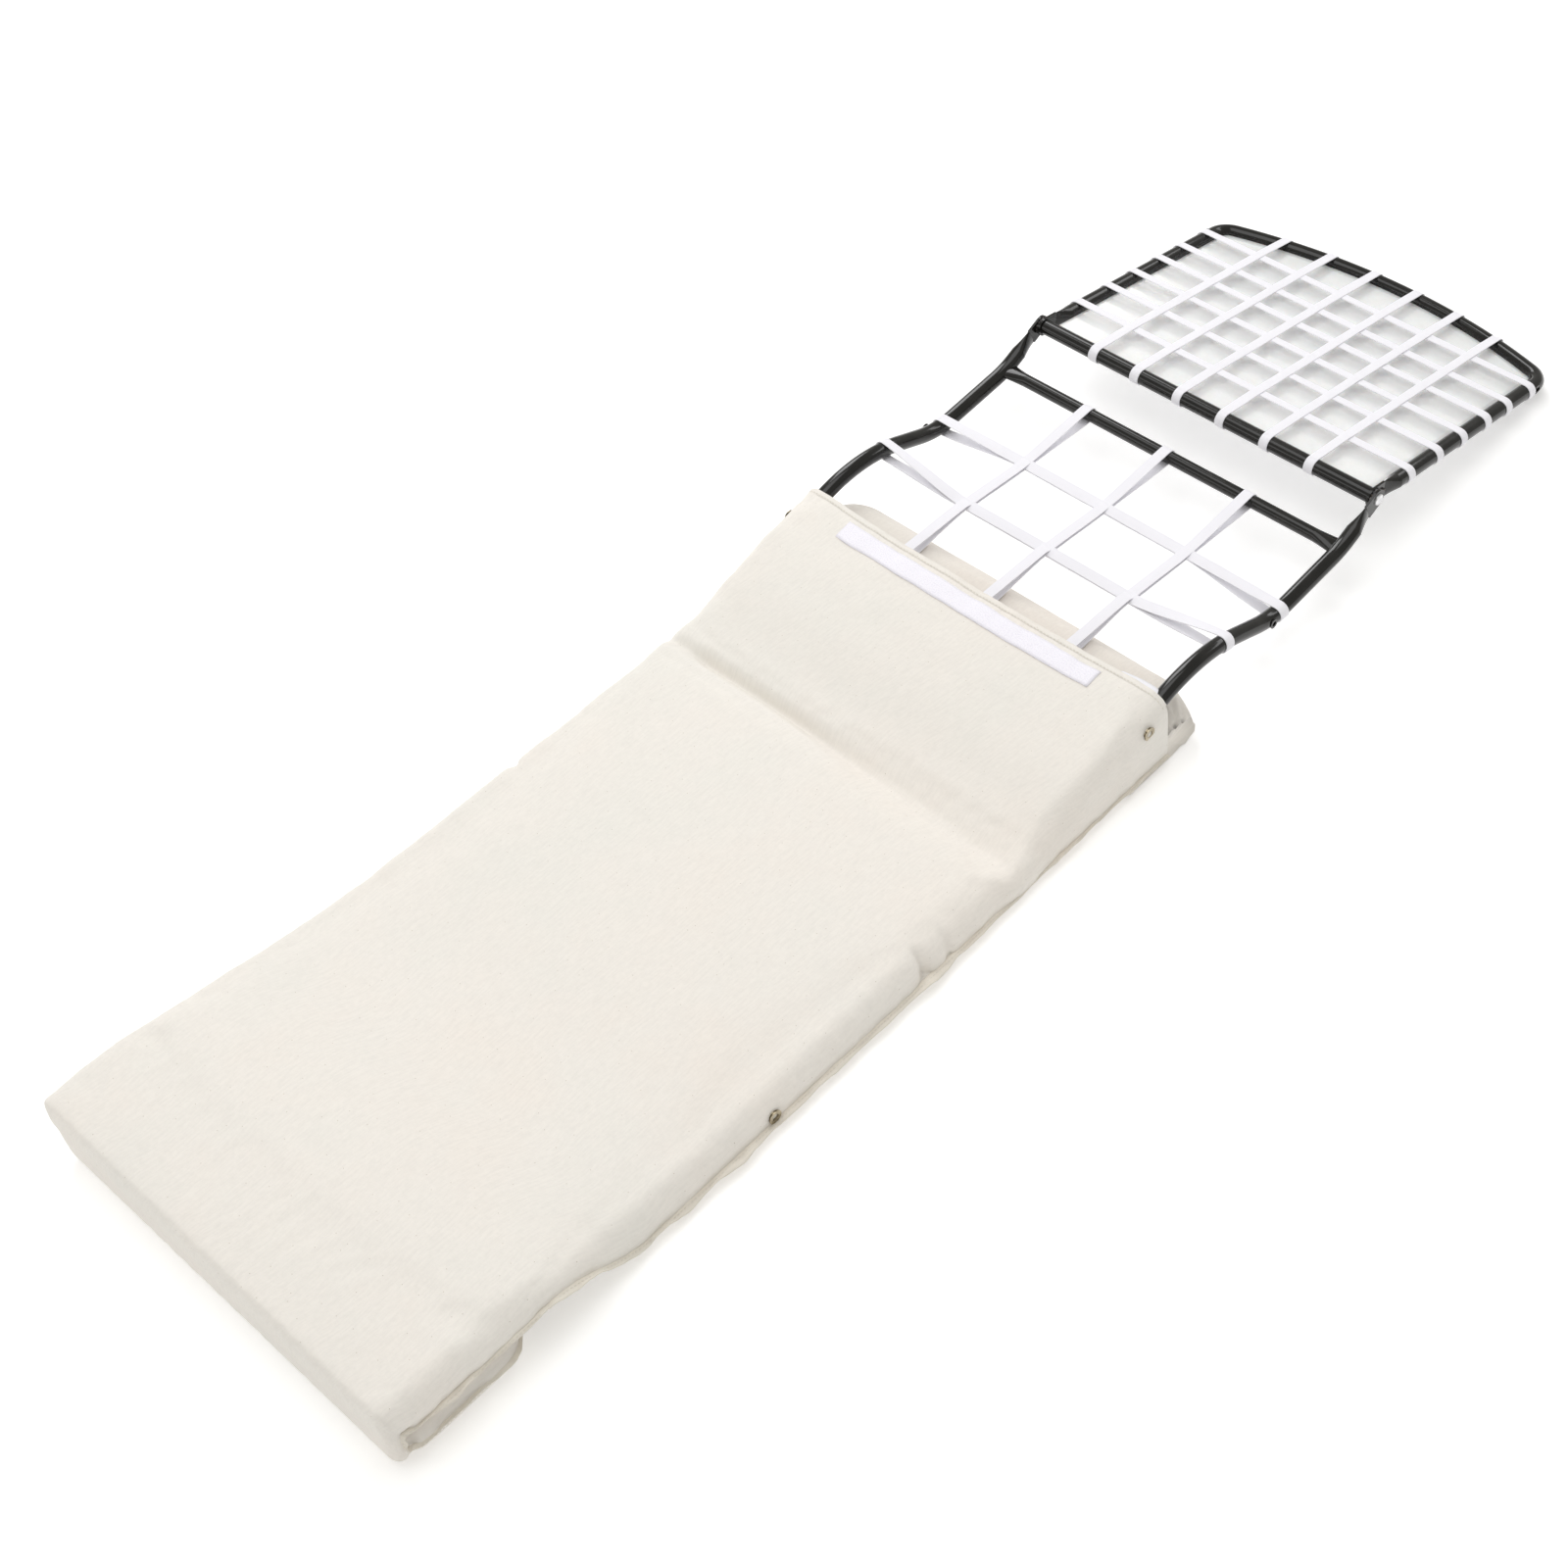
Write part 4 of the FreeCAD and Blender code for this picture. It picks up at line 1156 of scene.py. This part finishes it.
def makeCornerTape():
    # the loose white loop that shows under the sheet's right corner
    spots, wides, ups = [], [], []
    for i in range(26):
        t = i / 25
        x = mix(hemSet["cornerStart"], halfWidth - 0.004, t)
        drop = 0.016 * ease(x, 0.240, halfWidth)
        y = creaseY + sheetEdge(x) + 0.0015 + 0.0035 * math.sin(math.pi * t)
        y -= 0.006 * ease(x, 0.245, halfWidth)
        spots.append(Vector((x, y, topSheetHeight(x, 0.232) - 0.0030 - drop * 0.25)))
        wides.append(Vector((0, 1, -0.15)).normalized())
        ups.append(Vector((0, 0.15, 1)).normalized())
    wide, thick = hemSet["cornerWidth"], hemSet["cornerThick"]
    loop = makeStrip("cornerTape", "back", spots, wides, ups, wide, thick, elastic, 0.0004)
    return loop


makeHem()
makeHookTape()
makeCornerTape()
print("open edge finished")


# elastic straps

strapSet = {"width": 0.012, "backWiden": 1.12, "thick": 0.0011, "tube": 0.0095, "bar": 0.0080}
crossSection = (  # across the strap, and out from its middle
    (-1, 0.5), (-0.5, 0.62), (0, 0.66), (0.5, 0.62), (1, 0.5),
    (1, -0.5), (0.5, -0.5), (0, -0.5), (-0.5, -0.5), (-1, -0.5),
)


def strapLoop(start, end, startRadius, endRadius, pinches, side, seed):
    # closed centreline of a loop round two bars, pinched together where other straps cross it
    ahead = (end - start).normalized()
    up = side.cross(ahead).normalized()
    if up.z < 0:
        up = -up
    span = (end - start).length
    lift = strapSet["thick"] / 2 + 0.0002

    def height(distance, sign):
        stations = [(0.0, startRadius + lift, 0.0), *pinches, (span, endRadius + lift, 0.0)]
        for (a, ga, ha), (b, gb, hb) in zip(stations, stations[1:]):
            if distance <= b or b == span:
                t = min(1.0, max(0.0, (distance - a) / max(b - a, 1e-6)))
                soft = mix(t, t * t * (3 - 2 * t), 0.35)
                return sign * mix(ga, gb, soft) + mix(ha, hb, soft)

    line = []
    steps = max(24, int(span / 0.008))
    for i in range(steps + 1):
        d = span * i / steps
        wander = 0.0006 * wobble(d * 14, seed) * math.sin(math.pi * i / steps)
        line.append((start + ahead * d + up * (height(d, 1) + wander), up))
    for i in range(1, 10):
        a = math.pi / 2 - math.pi * i / 10
        out = ahead * math.cos(a) + up * math.sin(a)
        line.append((end + out * (endRadius + lift), out))
    for i in range(steps + 1):
        d = span * (1 - i / steps)
        wander = 0.0008 * wobble(d * 12, seed + 5) * math.sin(math.pi * i / steps)
        line.append((start + ahead * d + up * (height(d, -1) + wander), -up))
    for i in range(1, 10):
        a = -math.pi / 2 - math.pi * i / 10
        out = ahead * math.cos(a) + up * math.sin(a)
        line.append((start + out * (startRadius + lift), out))
    return line, side.normalized()


def strapMesh(line, side, facing, width, thick, seed, points, faces, cloth):
    start = len(points)
    along = 0.0
    count = len(line)
    first, last = line[0][0], max(line, key=lambda p: (p[0] - line[0][0]).length)[0]
    span = last - first
    edge = side
    for i, (spot, out) in enumerate(line):
        if i:
            along += (spot - line[i - 1][0]).length
        if facing:
            # the free middle of the strap lies flatter than its ends on the rails
            t = (spot - first).dot(span) / span.length_squared
            free = ease(t, 0.0, 0.22) * (1 - ease(t, 0.78, 1.0))
            turned = side.lerp(facing, free).normalized()
            across = span.normalized()
            normal = turned.cross(across).normalized()
            if normal.dot(out) < 0:
                normal = -normal
            side = turned
            out = out.lerp(normal, free).normalized()
        half = width / 2 * (1 + 0.05 * wobble(along * 20, seed))
        roll = 0.0005 * wobble(along * 9, seed + 3)
        for t, o in crossSection:
            points.append(spot + side * (half * t) + out * (thick * o + roll * t))
            cloth.append((half * t, along))
        side = edge
    per = len(crossSection)
    for r in range(count):
        for k in range(per):
            a = start + r * per + k
            b = start + r * per + (k + 1) % per
            c = start + ((r + 1) % count) * per + (k + 1) % per
            d = start + ((r + 1) % count) * per + k
            faces.append((a, b, c, d))


def strapPiece(name, body, loops, replaced, facing=None):
    points, faces, cloth = [], [], []
    width = strapSet["width"] * (strapSet["backWiden"] if body == "back" else 1.0)
    for seed, (start, end, r1, r2, pinches, twist) in enumerate(loops):
        line, side = strapLoop(start, end, r1, r2, pinches, twist, seed * 3.1 + len(name))
        strapMesh(line, side, facing, width, strapSet["thick"], seed * 1.7, points, faces, cloth)
    piece = meshPiece(name, points, faces, elastic, cloth)
    faceOutward(piece)
    piece.data.set_sharp_from_angle(angle=math.radians(50))
    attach(piece, body)
    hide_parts(replaced)
    return piece


railSet = {
    "half": 0.250,
    "points": ((0.0, 0.021), (0.310, 0.104), (0.440, 0.051), (0.568, 0.061), (0.636, 0.089)),
    "radii": (0.200, 0.130, 0.110),
    "backStraps": (0.070, 0.130, 0.352, 0.452),
    "columns": (-0.120, 0.0, 0.120),
    "crossingHeights": {0.352: 0.075, 0.452: 0.064},
    "lowBar": 0.190,
    "highBar": 0.568,
    "middleFacing": (0, 0.97, 0.24),
}


def railHeight(station):
    # height of the bent rail, from its corner points rounded with the bending radii
    points = [Vector((a, b)) for a, b in railSet["points"]]
    line = [points[0]]
    for before, corner, after, radius in zip(points, points[1:], points[2:], railSet["radii"]):
        toward, away = (before - corner).normalized(), (after - corner).normalized()
        half = toward.angle(away) / 2
        setback = radius / math.tan(half)
        start, end = corner + toward * setback, corner + away * setback
        middle = corner + (toward + away).normalized() * (radius / math.sin(half))
        for i in range(13):
            arm = start.lerp(end, i / 12) - middle
            line.append(middle + arm.normalized() * radius)
    line.append(points[-1])
    for a, b in zip(line, line[1:]):
        if a.x <= station <= b.x:
            return mix(a.y, b.y, (station - a.x) / max(b.x - a.x, 1e-9))
    return line[-1].y


def railSlope(station):
    return math.atan2(railHeight(station + 0.001) - railHeight(station - 0.001), 0.002)


def makeBackStraps():
    crosswise, crossings = [], []
    for station in railSet["backStraps"]:
        z = railHeight(station)
        slope = railSlope(station)
        along = Vector((0, math.cos(slope), math.sin(slope)))
        start = Vector((-railSet["half"], creaseY + station, z))
        end = Vector((railSet["half"], creaseY + station, z))
        pinches = []
        if station > 0.3:
            pull = (railSet["crossingHeights"][station] - z) / math.cos(slope)
            for x in railSet["columns"]:
                for step in (-0.009, 0.009):
                    pinches.append((x + railSet["half"] + step, 0.0008, pull))
            crossings.append((station, pull, slope))
        crosswise.append((start, end, strapSet["tube"], strapSet["tube"], pinches, along))
    facing = Vector(railSet["middleFacing"]).normalized()
    strapPiece("backStrapsAcross", "back", crosswise, "back_straps_crosswise", facing)
    low, high = railSet["lowBar"], railSet["highBar"]
    lengthwise = []
    for x in railSet["columns"]:
        start = Vector((x, creaseY + low, railHeight(low)))
        end = Vector((x, creaseY + high, railHeight(high)))
        ahead = (end - start).normalized()
        up = Vector((1, 0, 0)).cross(ahead)
        pinches = []
        for station, pull, slope in crossings:
            y = creaseY + station - math.sin(slope) * pull
            centre = Vector((x, y, railHeight(station) + math.cos(slope) * pull))
            for step in (-0.008, 0.008):
                spot = centre + Vector((0, math.cos(slope), math.sin(slope))) * step - start
                pinches.append((spot.dot(ahead), 0.0021, spot.dot(up)))
        lengthwise.append((start, end, strapSet["bar"], strapSet["bar"], pinches, Vector((1, 0, 0))))
    strapPiece("backStrapsAlong", "back", lengthwise, "back_straps_lengthwise")


headSet = {
    "slope": -11.04,
    "half": 0.2438,
    "reach": 0.410,
    "arch": 0.045,
    "rows": (0.066, 0.125, 0.177, 0.229, 0.276, 0.328),
    "spacing": 0.064,
    "columns": 6,
}
headAlong = Vector((0, math.cos(math.radians(headSet["slope"])), math.sin(math.radians(headSet["slope"]))))
headUp = Vector((1, 0, 0)).cross(headAlong)
archRadius = (headSet["half"] ** 2 + headSet["arch"] ** 2) / (2 * headSet["arch"])


def headSpot(x, s, lift=0.0):
    return neck + Vector((x, 0, 0)) + headAlong * s + headUp * lift


def archStation(x, inset=0.0):
    return headSet["reach"] - archRadius + math.sqrt((archRadius - inset) ** 2 - x * x)


def makeHeadStraps():
    crosswise = []
    tube = strapSet["tube"]
    for s in headSet["rows"]:
        start, end = headSpot(-headSet["half"], s), headSpot(headSet["half"], s)
        crosswise.append((start, end, tube, tube, [], headAlong))
    strapPiece("headStrapsAcross", "head", crosswise, "head_straps_crosswise")
    lengthwise = []
    over = strapSet["tube"] + strapSet["thick"] * 1.5 + 0.0006
    for i in range(headSet["columns"]):
        x = headSet["spacing"] * (i - (headSet["columns"] - 1) / 2)
        end = archStation(x)
        pinches = [(headSet["rows"][0] - 0.012, over, 0.0), (headSet["rows"][-1] + 0.012, over, 0.0)]
        lengthwise.append((headSpot(x, 0), headSpot(x, end), tube, tube, pinches, Vector((1, 0, 0))))
    strapPiece("headStrapsAlong", "head", lengthwise, "head_straps_lengthwise")


def makeHeadLiner():
    across, down = 60, 44
    inset = strapSet["tube"] + 0.0008
    wide = headSet["half"] - inset
    points, cloth, faces = [], [], []
    for j in range(down + 1):
        for i in range(across + 1):
            x = mix(-wide, wide, i / across)
            far = archStation(x, inset) - 0.001
            s = mix(inset, far, j / down)
            edge = min(i, across - i, j, down - j)
            loose = ease(edge, 0, 4)
            lift = loose * (0.0016 * wobble(x * 16, s * 13, 1.0) + 0.0009 * wobble(x * 40, s * 34, 2.0))
            points.append(headSpot(x, s, lift))
            cloth.append((x, s))
    for j in range(down):
        for i in range(across):
            a = j * (across + 1) + i
            faces.append((a, a + 1, a + across + 2, a + across + 1))
    liner = meshPiece("headLiner", points, faces, linerFinish, cloth)
    solid = liner.modifiers.new("thickness", "SOLIDIFY")
    solid.thickness = 0.0007
    applyModifiers(liner)
    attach(liner, "head")
    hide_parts("head_liner")
    return liner


makeBackStraps()
makeHeadStraps()
makeHeadLiner()
print("straps and liner made")
